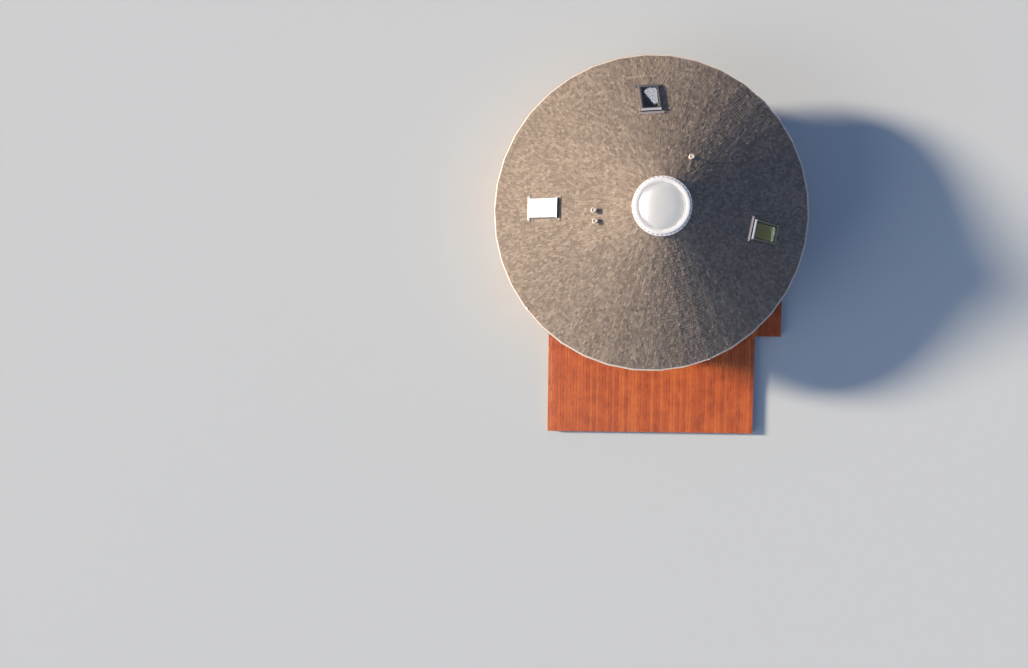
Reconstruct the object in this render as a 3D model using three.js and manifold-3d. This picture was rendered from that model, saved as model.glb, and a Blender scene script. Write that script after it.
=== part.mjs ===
// Round timber house in the form of a yurt: a 38-sided shingled cone roof with a domed crown light,
// on nineteen flat wall panels, with a low board deck in front.
// Millimetres, +Z up. The origin is on the axis of the round house, at ground level. The deck is at -Y.

import * as THREE from 'three';
import { mergeVertices } from 'three/addons/utils/BufferGeometryUtils.js';
import Module from 'manifold-3d';

const wasm = await Module();
wasm.setup();

// Driving dimensions
const seat = 0.3;                 // gap between pieces that rest on each other
const roofSides = 38;
const wallPanels = 19;            // each carries two roof facets
const houseTurn = THREE.MathUtils.degToRad(-0.85);   // the house stands this far off the deck's square
const roofStep = (2 * Math.PI) / roofSides;
const panelStep = (2 * Math.PI) / wallPanels;

const eaveRadius = 6450;          // over the corners of the eave trim
const eaveHeight = 2700;          // top of the roof at the eave
const roofRise = 0.4;             // rise for each unit of run
const roofThickness = 90;         // boards, battens and insulation, measured upright
const roofEdgeRadius = 6425;

const wallRadius = 5850;          // over the corners
const wallThickness = 200;
const slabTop = 120;
const floorTop = 240;
const wallTop = 2500;

const rafterWidth = 60;
const rafterDepth = 190;
const rafterTailDepth = 110;
const rafterTailStart = 5900;
const rafterEnd = 6396;
const crownRadius = 960;
const crownBore = 880;
const crownDepth = 230;

const doorHead = 2340;
const entrancePanel = 10;
const entranceWidth = 1000;
const terracePanels = { left: 14, right: 15 };
const terraceWidth = 1500;
const windowPanels = { front_left: 12, front_right: 17, back_left: 8, back_right: 2 };
const windowWidth = 1000;
const windowSill = 1160;
const blankPanels = {
  beside_terrace_left: 13,
  beside_terrace_right: 16,
  entrance_front: 11,
  entrance_back: 9,
};

const roofWindowVertex = { left: 19, back: 10, right: 37 };   // roof corner line under each window
const roofWindowRadius = 4420;
const roofWindowWidth = 780;
const roofWindowLength = 1180;
const roofWindowProud = 100;

const curbRadius = 1135;          // over the flange
const curbHeight = 104;           // top of the flange above the roof under its edge
const domeRadius = 908;
const domeRise = 330;
const curbSides = 2 * roofSides;
const domeSides = 48;

const ventPipes = {
  left_upper: { radius: 2535, azimuth: -177.3, height: 230 },
  left_lower: { radius: 2525, azimuth: -167.9, height: 210 },
  right: { radius: 2255, azimuth: 59.1, height: 230 },
};

const deckTop = 200;
const deckBoard = 28;
const joistDepth = 98;
const joistWidth = 45;
const joistPitch = 600;
const deck = { left: -4000, right: 5230, front: -9440 };
const wing = { right: 6390, front: -5063, back: -1900 };

// Worked out from them
const roofZ = (radius) => eaveHeight + roofRise * (eaveRadius - radius);       // on a corner line
const underRoofZ = (radius) => roofZ(radius) - roofThickness;
const hipFall = (halfWidth) => halfWidth * roofRise * Math.sin(roofStep / 2);   // fall beside a corner line
const rafterTopZ = (radius) => underRoofZ(radius) - hipFall(rafterWidth / 2) - seat;
const panelHalf = panelStep / 2;
const wallFace = wallRadius * Math.cos(panelHalf);             // flat outer face of a panel
const wallInside = wallFace - wallThickness;
const roofCornerAzimuth = (corner) => houseTurn + corner * roofStep;
const panelAzimuth = (panel) => houseTurn + panel * panelStep;

const finish = (color, roughness, metalness = 0) =>
  new THREE.MeshStandardMaterial({ color, roughness, metalness });
const concrete = finish(0x9a9893, 0.9);
const floorBoards = finish(0xb08a5c, 0.6);
const cladding = finish(0x9b7350, 0.75);
const timber = finish(0xc79f6b, 0.7);
const paintedWood = finish(0xe4e2dc, 0.5);
const doorWood = finish(0x6d4a32, 0.6);
const glass = finish(0x9fb2b5, 0.05);
glass.transparent = true;
glass.opacity = 0.4;
const shingle = finish(0x867a70, 0.95);
const trimMetal = finish(0xd5cdc0, 0.45, 0.3);
const windowMetal = finish(0xaaacaf, 0.4, 0.7);
const whiteShell = finish(0xf1f1ee, 0.35);
const milkyAcrylic = finish(0xdcdcda, 0.15);
const deckWood = finish(0xbe5a37, 0.65);

// Geometry helpers
function withoutSlivers(geometry) {
  const index = geometry.getIndex().array;
  const kept = [];
  for (let i = 0; i < index.length; i += 3) {
    const [a, b, c] = [index[i], index[i + 1], index[i + 2]];
    if (a !== b && b !== c && c !== a) kept.push(a, b, c);
  }
  geometry.setIndex(kept);
  return geometry;
}

function toSolid(source) {
  const bare = source.clone();
  bare.deleteAttribute('normal');
  bare.deleteAttribute('uv');
  const merged = withoutSlivers(mergeVertices(bare, 1e-3));
  const vertProperties = new Float32Array(merged.getAttribute('position').array);
  const triVerts = new Uint32Array(merged.getIndex().array);
  return new wasm.Manifold(new wasm.Mesh({ numProp: 3, vertProperties, triVerts }));
}

function toGeometry(solid) {
  const mesh = solid.getMesh();
  const geometry = new THREE.BufferGeometry();
  geometry.setAttribute('position', new THREE.BufferAttribute(new Float32Array(mesh.vertProperties), 3));
  geometry.setIndex(Array.from(mesh.triVerts));
  return geometry;
}

const joined = (geometries) => geometries.map(toSolid).reduce((sum, next) => sum.add(next));
const cutBy = (solid, cutters) => cutters.map(toSolid).reduce((rest, cutter) => rest.subtract(cutter), solid);

function ring(profile, sides) {
  const points = [...profile, profile[0]].map(([radius, z]) => new THREE.Vector2(radius, z));
  return new THREE.LatheGeometry(points, sides).rotateX(Math.PI / 2).rotateZ(Math.PI / 2 + houseTurn);
}

function turned(profile, sides) {
  const points = profile.map(([radius, z]) => new THREE.Vector2(radius, z));
  return new THREE.LatheGeometry(points, sides).rotateX(Math.PI / 2);
}

function prism(outline, low, high) {
  const shape = new THREE.Shape(outline.map(([x, y]) => new THREE.Vector2(x, y)));
  return new THREE.ExtrudeGeometry(shape, { depth: high - low, bevelEnabled: false }).translate(0, 0, low);
}

function block(x0, x1, y0, y1, z0, z1) {
  return new THREE.BoxGeometry(x1 - x0, y1 - y0, z1 - z0)
    .translate((x0 + x1) / 2, (y0 + y1) / 2, (z0 + z1) / 2);
}

const polar = (radius, azimuth) => [radius * Math.cos(azimuth), radius * Math.sin(azimuth)];

function polygonOutline(radius) {
  return Array.from({ length: wallPanels }, (_, i) => polar(radius, panelAzimuth(i) + panelHalf));
}

// An upright plate in a panel's own frame: x along the wall, y outwards, with rectangular holes
function plate(x0, x1, z0, z1, back, front, holes = []) {
  const corners = (a, b, c, d) => [[a, c], [b, c], [b, d], [a, d]].map(([x, z]) => new THREE.Vector2(x, z));
  const shape = new THREE.Shape(corners(x0, x1, z0, z1));
  for (const [a, b, c, d] of holes) shape.holes.push(new THREE.Path(corners(a, b, c, d)));
  return new THREE.ExtrudeGeometry(shape, { depth: front - back, bevelEnabled: false })
    .rotateX(Math.PI / 2)
    .translate(0, front, 0);
}

const yurt = new THREE.Group();

function addPart(parent, name, geometry, material) {
  const mesh = new THREE.Mesh(geometry, material);
  mesh.name = name;
  parent.add(mesh);
}

function panelGroup(panel) {
  const group = new THREE.Group();
  group.rotation.z = panelAzimuth(panel) - Math.PI / 2;
  yurt.add(group);
  return group;
}

// Base
function addBase() {
  const outline = polygonOutline(wallRadius);
  addPart(yurt, 'foundation_slab', prism(outline, 0, slabTop), concrete);
  addPart(yurt, 'floor_platform', prism(outline, slabTop + seat, floorTop), floorBoards);
}

// Walls
function wallPanel() {
  const inset = seat / 2;
  const outer = wallFace * Math.tan(panelHalf) - inset;
  const inner = wallInside * Math.tan(panelHalf) - inset;
  const outline = [[-outer, wallFace], [-inner, wallInside], [inner, wallInside], [outer, wallFace]];
  return prism(outline, floorTop + seat, wallTop);
}

function wallWithHole(width, low, high) {
  const hole = block(-width / 2, width / 2, wallInside - 50, wallFace + 50, low, high);
  return toGeometry(cutBy(toSolid(wallPanel()), [hole]));
}

function wallArc(firstPanel, count) {
  const turnIn = seat / 2 / wallRadius;
  const start = panelAzimuth(firstPanel) - panelHalf;
  const azimuths = Array.from({ length: count + 1 }, (_, i) => start + i * panelStep);
  azimuths[0] += turnIn;
  azimuths[count] -= turnIn;
  const outer = azimuths.map((azimuth) => polar(wallRadius, azimuth));
  const inner = azimuths.map((azimuth) => polar(wallInside / Math.cos(panelHalf), azimuth));
  return prism([...outer, ...inner.reverse()], floorTop + seat, wallTop);
}

function addWalls() {
  addPart(yurt, 'wall_back', wallArc(3, 5), cladding);
  addPart(yurt, 'wall_right', wallArc(18, 3), cladding);
  for (const [name, panel] of Object.entries(blankPanels)) {
    addPart(panelGroup(panel), `wall_${name}`, wallPanel(), cladding);
  }
}

// Top beam of the walls, filled up to the roof boards between the rafters
function addWallPlate(rafterNotches) {
  const top = underRoofZ(wallInside) + 50;
  const bore = wallInside / Math.cos(panelHalf);
  const low = wallTop + seat;
  const beam = toSolid(prism(polygonOutline(wallRadius), low, top))
    .subtract(toSolid(prism(polygonOutline(bore), low - 10, top + 10)));
  const near = bore - 400;
  const far = eaveRadius + 200;
  const aboveBoards = ring(
    [[near, underRoofZ(near) - seat], [far, underRoofZ(far) - seat], [far, top + 400], [near, top + 400]],
    roofSides,
  );
  addPart(yurt, 'wall_plate', toGeometry(cutBy(beam, [aboveBoards, ...rafterNotches])), timber);
}

// Openings in the walls
function addEntrance() {
  const group = panelGroup(entrancePanel);
  const half = entranceWidth / 2;
  addPart(group, 'wall_entrance', wallWithHole(entranceWidth, floorTop - 10, doorHead), cladding);

  const low = floorTop + seat;
  const high = doorHead - seat;
  const jamb = 60;
  const threshold = 40;
  const doorway = [-half + jamb, half - jamb, low + threshold, high - jamb];
  const frame = joined([
    plate(-half + seat, half - seat, low, high, wallFace - 130, wallFace + 30, [doorway]),
    plate(-half - 90, half + 90, low, high + 90, wallFace + seat, wallFace + 30,
      [[-half + 20, half - 20, low + 10, high - 20]]),
  ]);
  addPart(group, 'entrance_door_frame', toGeometry(frame), paintedWood);

  const leafHalf = half - jamb - seat;
  const panelHalfWidth = leafHalf - 100;
  const leafBack = wallFace - 100;
  const leafFront = wallFace - 40;
  const raised = (z0, z1) => block(-panelHalfWidth, panelHalfWidth, leafFront - 5, leafFront + 10, z0, z1);
  const leaf = joined([
    block(-leafHalf, leafHalf, leafBack, leafFront, low + threshold + seat, high - jamb - seat),
    raised(low + 220, low + 820),
    raised(low + 960, high - jamb - 130),
  ]);
  addPart(group, 'entrance_door', toGeometry(leaf), doorWood);

  const step = block(-half - 200, half + 200, wallFace + seat, wallFace + 560, 0, slabTop);
  addPart(group, 'entrance_step', step, concrete);
}

// A glazed unit: frame, outer casing, one middle stile and one sheet of glass behind it
function addGlazedUnit(group, name, width, low, high, bar, rail) {
  const half = width / 2;
  const casing = 85;
  const stile = bar * 0.8;
  const glassBack = wallFace - 90;
  const glassFront = wallFace - 66;
  const pane = [-half + bar, half - bar, low + rail, high - bar];
  const inWall = [-half + seat, half - seat, low + seat, high - seat];
  const onWall = [-half - casing, half + casing, low + seat, high + casing];
  const sides = plate(...inWall, wallFace - 130, wallFace + 30, [pane]);
  const rim = [-half + 20, half - 20, low + 20, high - 20];
  const outer = plate(...onWall, wallFace + seat, wallFace + 36, [rim]);
  const stileOutside = plate(-stile, stile, low + rail - 5, high - bar + 5, glassFront + seat, wallFace - 30);
  const stileInside = plate(-stile, stile, low + rail - 5, high - bar + 5, wallFace - 124, glassBack - seat);
  addPart(group, `${name}_frame`, toGeometry(joined([sides, outer, stileOutside, stileInside])), paintedWood);
  const sheet = block(pane[0] + seat, pane[1] - seat, glassBack, glassFront, pane[2] + seat, pane[3] - seat);
  addPart(group, `${name}_glass`, sheet, glass);
}

function addTerraceDoors() {
  for (const [side, panel] of Object.entries(terracePanels)) {
    const group = panelGroup(panel);
    addPart(group, `wall_terrace_${side}`, wallWithHole(terraceWidth, floorTop - 10, doorHead), cladding);
    addGlazedUnit(group, `terrace_door_${side}`, terraceWidth, floorTop, doorHead, 120, 200);
  }
}

function addWallWindows() {
  for (const [place, panel] of Object.entries(windowPanels)) {
    const group = panelGroup(panel);
    addPart(group, `wall_${place}`, wallWithHole(windowWidth, windowSill, doorHead), cladding);
    addGlazedUnit(group, `window_${place}`, windowWidth, windowSill, doorHead, 80, 80);
  }
}

// Roof frame: rafters from the crown ring to the eave, trimmed round each roof window
function rafterSolid(corner, spread = 0, raise = 0) {
  const start = crownRadius - 10;
  const outline = [
    [start, rafterTopZ(start) + raise],
    [start, underRoofZ(start) - rafterDepth - spread],
    [rafterTailStart, underRoofZ(rafterTailStart) - rafterDepth - spread],
    [rafterEnd, underRoofZ(rafterEnd) - rafterTailDepth - spread],
    [rafterEnd, rafterTopZ(rafterEnd) + raise],
  ];
  const shape = new THREE.Shape(outline.map(([radius, z]) => new THREE.Vector2(radius, z)));
  const width = rafterWidth + 2 * spread;
  return new THREE.ExtrudeGeometry(shape, { depth: width, bevelEnabled: false })
    .rotateX(Math.PI / 2)
    .translate(0, width / 2, 0)
    .rotateZ(roofCornerAzimuth(corner));
}

const pitch = Math.atan(roofRise);
const windowReach = (roofWindowLength / 2 + roofThickness * Math.sin(pitch)) * Math.cos(pitch) + 10;

function trimmerBeams(corner) {
  const half = rafterWidth / 2;
  const depth = 140;
  const across = (radius) => {
    const reach = radius * Math.tan(roofStep);
    const high = underRoofZ((radius + half) / Math.cos(roofStep)) - seat;
    return block(radius - half, radius + half, -reach, reach, high - depth, high)
      .rotateZ(roofCornerAzimuth(corner));
  };
  return [across(roofWindowRadius - windowReach - half), across(roofWindowRadius + windowReach + half)];
}

function rafterGap(corner) {
  const clear = rafterWidth / 2 + 10;
  return block(roofWindowRadius - windowReach, roofWindowRadius + windowReach, -clear, clear, 2000, 5000)
    .rotateZ(roofCornerAzimuth(corner));
}

function addRoofFrame() {
  const corners = Array.from({ length: roofSides }, (_, i) => i);
  const cutCorners = Object.values(roofWindowVertex);
  const crownTop = roofZ(crownRadius) - seat;
  const crown = ring(
    [[crownRadius, underRoofZ(crownRadius) - crownDepth], [crownRadius, crownTop], [crownBore, crownTop],
      [crownBore, underRoofZ(crownRadius) - crownDepth]],
    roofSides,
  );
  let frame = joined([crown, ...corners.map((corner) => rafterSolid(corner))]);
  frame = cutBy(frame, cutCorners.map(rafterGap));
  for (const beam of cutCorners.flatMap(trimmerBeams)) frame = frame.add(toSolid(beam));
  addPart(yurt, 'rafters_and_crown', toGeometry(frame), timber);
  const notchRaise = 20;
  return corners.map((corner) => rafterSolid(corner, seat, notchRaise));
}

// Places a geometry made flat (x across, y up the slope, z off the roof) on a corner line of the roof
function onRoofCorner(geometry, corner, radius) {
  const uphill = new THREE.Vector3(-1, 0, roofRise).normalize();
  const across = new THREE.Vector3(0, 1, 0);
  const off = new THREE.Vector3().crossVectors(across, uphill);
  const matrix = new THREE.Matrix4().makeBasis(across, uphill, off).setPosition(radius, 0, roofZ(radius));
  return geometry.clone().applyMatrix4(matrix).rotateZ(roofCornerAzimuth(corner));
}

function addRoofDeck() {
  const profile = [
    [roofEdgeRadius, underRoofZ(roofEdgeRadius)], [roofEdgeRadius, roofZ(roofEdgeRadius)],
    [crownRadius + seat, roofZ(crownRadius + seat)], [crownRadius + seat, underRoofZ(crownRadius + seat)],
  ];
  const halfWidth = roofWindowWidth / 2 + seat;
  const halfLength = roofWindowLength / 2 + seat;
  const holes = Object.values(roofWindowVertex).map((corner) => onRoofCorner(
    block(-halfWidth, halfWidth, -halfLength, halfLength, -300, 300), corner, roofWindowRadius));
  addPart(yurt, 'roof_deck', toGeometry(cutBy(toSolid(ring(profile, roofSides)), holes)), shingle);
}

// Eave: a board over the rafter ends and a light metal edge with a small raised lip
function addEave() {
  const boardIn = rafterEnd + (rafterWidth / 2) * Math.tan(roofStep / 2) + seat;
  const boardOut = roofEdgeRadius - 1;
  const boardTop = underRoofZ(boardOut) - seat;
  const boardLow = underRoofZ(rafterEnd) - rafterTailDepth - 15;
  const board = [[boardOut, boardLow], [boardOut, boardTop], [boardIn, boardTop], [boardIn, boardLow]];
  addPart(yurt, 'fascia', ring(board, roofSides), paintedWood);

  const drop = 70;
  const lip = { height: 18, width: 12 };
  const sheet = 6;
  const lipIn = eaveRadius - lip.width;
  const flangeIn = eaveRadius - 62;
  const legIn = roofEdgeRadius + seat;
  addPart(yurt, 'drip_edge', ring([
    [eaveRadius, roofZ(eaveRadius) - drop],
    [eaveRadius, roofZ(eaveRadius) + lip.height],
    [lipIn, roofZ(eaveRadius) + lip.height],
    [lipIn, roofZ(lipIn) + sheet],
    [flangeIn, roofZ(flangeIn) + sheet],
    [flangeIn, roofZ(flangeIn) + seat],
    [legIn, roofZ(legIn) + seat],
    [legIn, roofZ(eaveRadius) - drop],
  ], roofSides), trimMetal);
}

// Crown light: a white upstand with a level flange and a raised ring, and a milky dome let into the ring
function addCrownLight() {
  const flangeTop = roofZ(curbRadius) + curbHeight;
  const flangeLow = flangeTop - 45;
  const upstand = curbRadius - 50;
  const ringTop = flangeTop + 22;
  const ringOut = 1050;
  const ringIn = 950;
  const rebate = flangeTop - 8;
  const bore = crownBore + 5;
  addPart(yurt, 'dome_curb', ring([
    [upstand, roofZ(upstand) + seat],
    [upstand, flangeLow],
    [curbRadius, flangeLow],
    [curbRadius, flangeTop],
    [ringOut, flangeTop],
    [ringOut - 6, ringTop],
    [ringIn, ringTop],
    [ringIn, rebate],
    [bore, rebate],
    [bore, roofZ(crownRadius) + seat],
    [crownRadius, roofZ(crownRadius) + seat],
  ], curbSides), whiteShell);

  const sheet = 8;
  const brim = ringIn - 12;
  const brimLow = rebate + seat;
  const arcSteps = 5;
  const bulge = (radius, rise, low) => Array.from({ length: arcSteps + 1 }, (_, i) => {
    const angle = (i / arcSteps) * (Math.PI / 2);
    return [radius * Math.cos(angle), low + rise * Math.sin(angle)];
  });
  const outside = bulge(domeRadius, domeRise, brimLow + sheet);
  const inside = bulge(domeRadius - sheet, domeRise, brimLow).reverse();
  outside[arcSteps][0] = 0;
  inside[0][0] = 0;
  const profile = [...inside, [brim, brimLow], [brim, brimLow + sheet], ...outside];
  addPart(yurt, 'dome', turned(profile, domeSides), milkyAcrylic);
}

// Roof windows
function addRoofWindows() {
  const halfWidth = roofWindowWidth / 2;
  const halfLength = roofWindowLength / 2;
  const side = 88;
  const end = 112;
  const under = -roofThickness * Math.cos(pitch);
  const [paneHalfWidth, paneHalfLength] = [halfWidth - side, halfLength - end];
  const upright = (inset, low, high) => block(-paneHalfWidth + inset, paneHalfWidth - inset,
    -paneHalfLength + inset, paneHalfLength - inset, low, high);
  const light = upright(0, under - 20, roofWindowProud + 20);
  const box = block(-halfWidth, halfWidth, -halfLength, halfLength, under, roofWindowProud);
  const apron = block(-538, 538, -halfLength - 75, -halfLength + 20, 9, 24);
  const headTray = block(-460, 460, halfLength - 20, halfLength + 130, seat, 12);
  const paneFront = roofWindowProud - 18;
  const pane = upright(seat, paneFront - 24, paneFront);
  const frame = toGeometry(cutBy(joined([box, apron, headTray]), [light]));
  for (const [place, corner] of Object.entries(roofWindowVertex)) {
    addPart(yurt, `roof_window_${place}_frame`, onRoofCorner(frame, corner, roofWindowRadius), windowMetal);
    addPart(yurt, `roof_window_${place}_glass`, onRoofCorner(pane, corner, roofWindowRadius), glass);
  }
}

// Capped vent pipes that stand on the roof
function addVents() {
  const sides = 24;
  const pipe = 55;
  const cap = 105;
  const collar = 88;
  const low = -200;
  const [near, far] = [0.01, 7000];
  const [highest, lowest] = [roofZ(near) + seat, roofZ(far) + seat];
  const belowRoof = ring([[near, 0], [far, 0], [far, lowest], [near, highest]], roofSides);
  for (const [name, vent] of Object.entries(ventPipes)) {
    const [x, y] = polar(vent.radius, THREE.MathUtils.degToRad(vent.azimuth));
    const profile = [
      [0, low], [collar, low], [collar, 30], [pipe, 85], [pipe, vent.height - 35], [cap, vent.height - 22],
      [cap, vent.height - 6], [cap - 40, vent.height], [0, vent.height],
    ];
    const upright = turned(profile, sides).translate(x, y, roofZ(vent.radius));
    addPart(yurt, `vent_${name}`, toGeometry(cutBy(toSolid(upright), [belowRoof])), trimMetal);
  }
}

// Deck
function deckField(x0, x1, y0, y1) {
  const house = prism(polygonOutline(wallRadius + 45), 0, 400);
  return toGeometry(cutBy(toSolid(block(x0, x1, y0, y1, deckTop - deckBoard, deckTop)), [house]));
}

function deckFrame(x0, x1, y0, y1, padColumns) {
  const high = deckTop - deckBoard - seat;
  const low = high - joistDepth;
  const inset = 20;
  const [left, right, front, back] = [x0 + inset, x1 - inset, y0 + inset, y1];
  const pad = 150;
  const beams = [
    block(left, left + joistWidth, front, back, low, high),
    block(right - joistWidth, right, front, back, low, high),
  ];
  const rows = Math.floor((back - front - joistWidth) / joistPitch);
  for (let row = 0; row <= rows; row += 1) {
    const y = front + row * joistPitch;
    beams.push(block(left, right, y, y + joistWidth, low, high));
    if (row % 3 !== 0) continue;
    for (let column = 0; column <= padColumns; column += 1) {
      const x = left + (right - left - pad) * (column / padColumns);
      beams.push(block(x, x + pad, y, y + pad, 0, low + 5));
    }
  }
  const house = prism(polygonOutline(wallRadius + seat), -10, 400);
  return toGeometry(cutBy(joined(beams), [house]));
}

function addDeck() {
  addPart(yurt, 'deck_boards', deckField(deck.left, deck.right, deck.front, -2000), deckWood);
  addPart(yurt, 'deck_frame', deckFrame(deck.left, deck.right, deck.front, -2000, 4), timber);
  const wingLeft = deck.right + seat;
  addPart(yurt, 'wing_boards', deckField(wingLeft, wing.right, wing.front, wing.back), deckWood);
  addPart(yurt, 'wing_frame', deckFrame(wingLeft, wing.right, wing.front, wing.back, 1), timber);
}

addBase();
addWalls();
addEntrance();
addTerraceDoors();
addWallWindows();
addWallPlate(addRoofFrame());
addRoofDeck();
addEave();
addCrownLight();
addRoofWindows();
addVents();
addDeck();

export default yurt;
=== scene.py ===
import math
import random
from functools import partial

import bmesh
import bpy
from mathutils import Matrix, Vector


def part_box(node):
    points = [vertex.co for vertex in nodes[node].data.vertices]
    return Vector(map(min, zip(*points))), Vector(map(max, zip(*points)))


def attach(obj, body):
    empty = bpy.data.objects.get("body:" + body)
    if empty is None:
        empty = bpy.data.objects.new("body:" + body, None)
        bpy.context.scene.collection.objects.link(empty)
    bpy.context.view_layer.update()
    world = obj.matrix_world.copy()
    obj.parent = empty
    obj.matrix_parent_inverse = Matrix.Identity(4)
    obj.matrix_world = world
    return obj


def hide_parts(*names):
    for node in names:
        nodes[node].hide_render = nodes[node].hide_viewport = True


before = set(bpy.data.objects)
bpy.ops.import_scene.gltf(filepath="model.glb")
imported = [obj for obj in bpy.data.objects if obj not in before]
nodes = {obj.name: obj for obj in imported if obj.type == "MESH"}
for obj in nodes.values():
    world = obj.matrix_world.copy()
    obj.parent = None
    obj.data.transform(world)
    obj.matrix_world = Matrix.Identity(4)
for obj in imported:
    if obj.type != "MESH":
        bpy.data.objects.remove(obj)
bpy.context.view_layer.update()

scene = bpy.context.scene

# The round house, in metres and radians: 19 wall panels, each under two of the 38 roof facets
house = {
    "roofSides": 38,
    "wallPanels": 19,
    "turn": math.radians(-0.85),
    "eaveHeight": 2.7,
    "rise": 0.4,
    "eaveRadius": 6.45,
    "wallRadius": 5.85,
    "roofWindowRadius": 4.42,
}
roofStep = 2 * math.pi / house["roofSides"]
panelStep = 2 * math.pi / house["wallPanels"]
wallFace = house["wallRadius"] * math.cos(panelStep / 2)
facetPitch = math.atan(house["rise"] / math.cos(roofStep / 2))
cornerPitch = math.atan(house["rise"])
wallPanelOf = {
    "entrance_door": 10, "terrace_door_left": 14, "terrace_door_right": 15, "window_front_left": 12,
    "window_front_right": 17, "window_back_left": 8, "window_back_right": 2,
}
roofCornerOf = {"left": 19, "back": 10, "right": 37}


def roofHeight(radius):
    return house["eaveHeight"] + house["rise"] * (house["eaveRadius"] - radius)


def localBox(node, place):   # a node's lowest and highest corner in a piece's own directions
    back = place.inverted()
    points = [back @ v.co for v in nodes[node].data.vertices]
    return [[pick(p[i] for p in points) for i in range(3)] for pick in (min, max)]


# Places: x across, y up, z outwards
def wallPlace(panel):
    swap = Matrix(((1, 0, 0, 0), (0, 0, 1, 0), (0, 1, 0, 0), (0, 0, 0, 1)))
    return Matrix.Rotation(house["turn"] + panel * panelStep - math.pi / 2, 4, "Z") @ swap


def roofPlace(azimuth, radius):
    uphill = Vector((-math.cos(cornerPitch), 0, math.sin(cornerPitch)))
    across = Vector((0, 1, 0))
    axes = Matrix((across, uphill, across.cross(uphill))).transposed().to_4x4()
    spot = Matrix.Translation((radius, 0, roofHeight(radius)))
    return Matrix.Rotation(azimuth, 4, "Z") @ spot @ axes


def roofWindowPlace(corner):
    return roofPlace(house["turn"] + corner * roofStep, house["roofWindowRadius"])


# Mesh making
def newMesh():
    bm = bmesh.new()
    bm.verts.layers.float.new("tone")
    return bm


def addVerts(bm, points, place, tone=0.5):
    layer = bm.verts.layers.float["tone"]
    made = []
    for point in points:
        vert = bm.verts.new(place @ Vector(point))
        vert[layer] = tone
        made.append(vert)
    return made


def joinRings(bm, rings, closed=False):   # faces between rings of equal length; a pole repeats one point
    pairs = list(zip(rings, rings[1:])) + ([(rings[-1], rings[0])] if closed else [])
    for ringA, ringB in pairs:
        count = len(ringA)
        for i in range(count):
            k = (i + 1) % count
            bm.faces.new(list(dict.fromkeys((ringA[i], ringA[k], ringB[k], ringB[i]))))


def addSweep(bm, outlines, place=Matrix(), tone=0.5):   # a solid through outlines of as many points each
    rings = [addVerts(bm, outline, place, tone) for outline in outlines]
    joinRings(bm, rings)
    bm.faces.new(rings[0][::-1])
    bm.faces.new(rings[-1])


def rectangle(x0, x1, y0, y1, z):
    return [(x0, y0, z), (x1, y0, z), (x1, y1, z), (x0, y1, z)]


def addBlock(bm, low, high, place=Matrix(), chamfer=0.0, tone=0.5):   # its outer edges are eased
    levels = [(0, low[2]), (0, high[2] - chamfer)] + ([(chamfer, high[2])] if chamfer else [])
    addSweep(bm, [rectangle(low[0] + inset, high[0] - inset, low[1] + inset, high[1] - inset, z)
                  for inset, z in levels], place, tone)


def addFrameRing(bm, outer, inner, back, front, place, chamfer=0.0):   # outer and inner are x0, x1, y0, y1
    ease = chamfer / abs(inner[0] - outer[0])
    shoulder = front - chamfer
    profile = [(0, back), (0, shoulder), (ease, front), (1 - ease, front), (1, shoulder), (1, back)]
    if not chamfer:
        profile = [(0, back), (0, front), (1, front), (1, back)]
    rings = []
    for share, z in profile:
        sides = [a + (b - a) * share for a, b in zip(outer, inner)]
        rings.append(addVerts(bm, rectangle(*sides, z), place))
    joinRings(bm, rings, closed=True)


def addLathe(bm, profile, segments, place=Matrix(), turn=0.0, closed=False):
    angles = [turn + 2 * math.pi * i / segments for i in range(segments)]
    rings = []
    for radius, z in profile:
        if radius < 1e-6:
            rings.append(addVerts(bm, [(0, 0, z)], place) * segments)
        else:
            points = [(radius * math.cos(a), radius * math.sin(a), z) for a in angles]
            rings.append(addVerts(bm, points, place))
    joinRings(bm, rings, closed)


def addTube(bm, path, radius, sides, place):
    points = [Vector(p) for p in path]
    angles = [2 * math.pi * k / sides for k in range(sides)]
    across = None
    outlines = []
    for i, point in enumerate(points):
        along = (points[min(i + 1, len(points) - 1)] - points[max(i - 1, 0)]).normalized()
        across = along.orthogonal() if across is None else across - along * across.dot(along)
        across.normalize()
        up = along.cross(across)
        outlines.append([point + radius * (math.cos(a) * across + math.sin(a) * up) for a in angles])
    addSweep(bm, outlines, place)


def meshFrom(bm, name):   # its faces point outwards
    bmesh.ops.recalc_face_normals(bm, faces=bm.faces)
    mesh = bpy.data.meshes.new(name)
    bm.to_mesh(mesh)
    bm.free()
    return mesh


def addObject(name, data):
    thing = bpy.data.objects.new(name, data)
    scene.collection.objects.link(thing)
    return thing


def finishPiece(name, shape, finish, standsFor=(), smooth=0):   # smooth up to this angle, in degrees
    mesh = meshFrom(shape, name) if isinstance(shape, bmesh.types.BMesh) else shape
    mesh.name = name
    mesh.materials.clear()
    mesh.materials.append(look[finish])
    piece = addObject(name, mesh)
    mesh.shade_flat()
    if smooth:
        mesh.shade_smooth()
        mesh.set_sharp_from_angle(angle=math.radians(smooth))
    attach(piece, "root")
    if standsFor:
        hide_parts(*standsFor)
    return piece


# Nodes
def linear(hexColour):   # sRGB hex to linear
    parts = [int(hexColour[i:i + 2], 16) / 255 for i in (1, 3, 5)]
    return [c / 12.92 if c <= 0.04045 else ((c + 0.055) / 1.055) ** 2.4 for c in parts] + [1.0]


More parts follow.
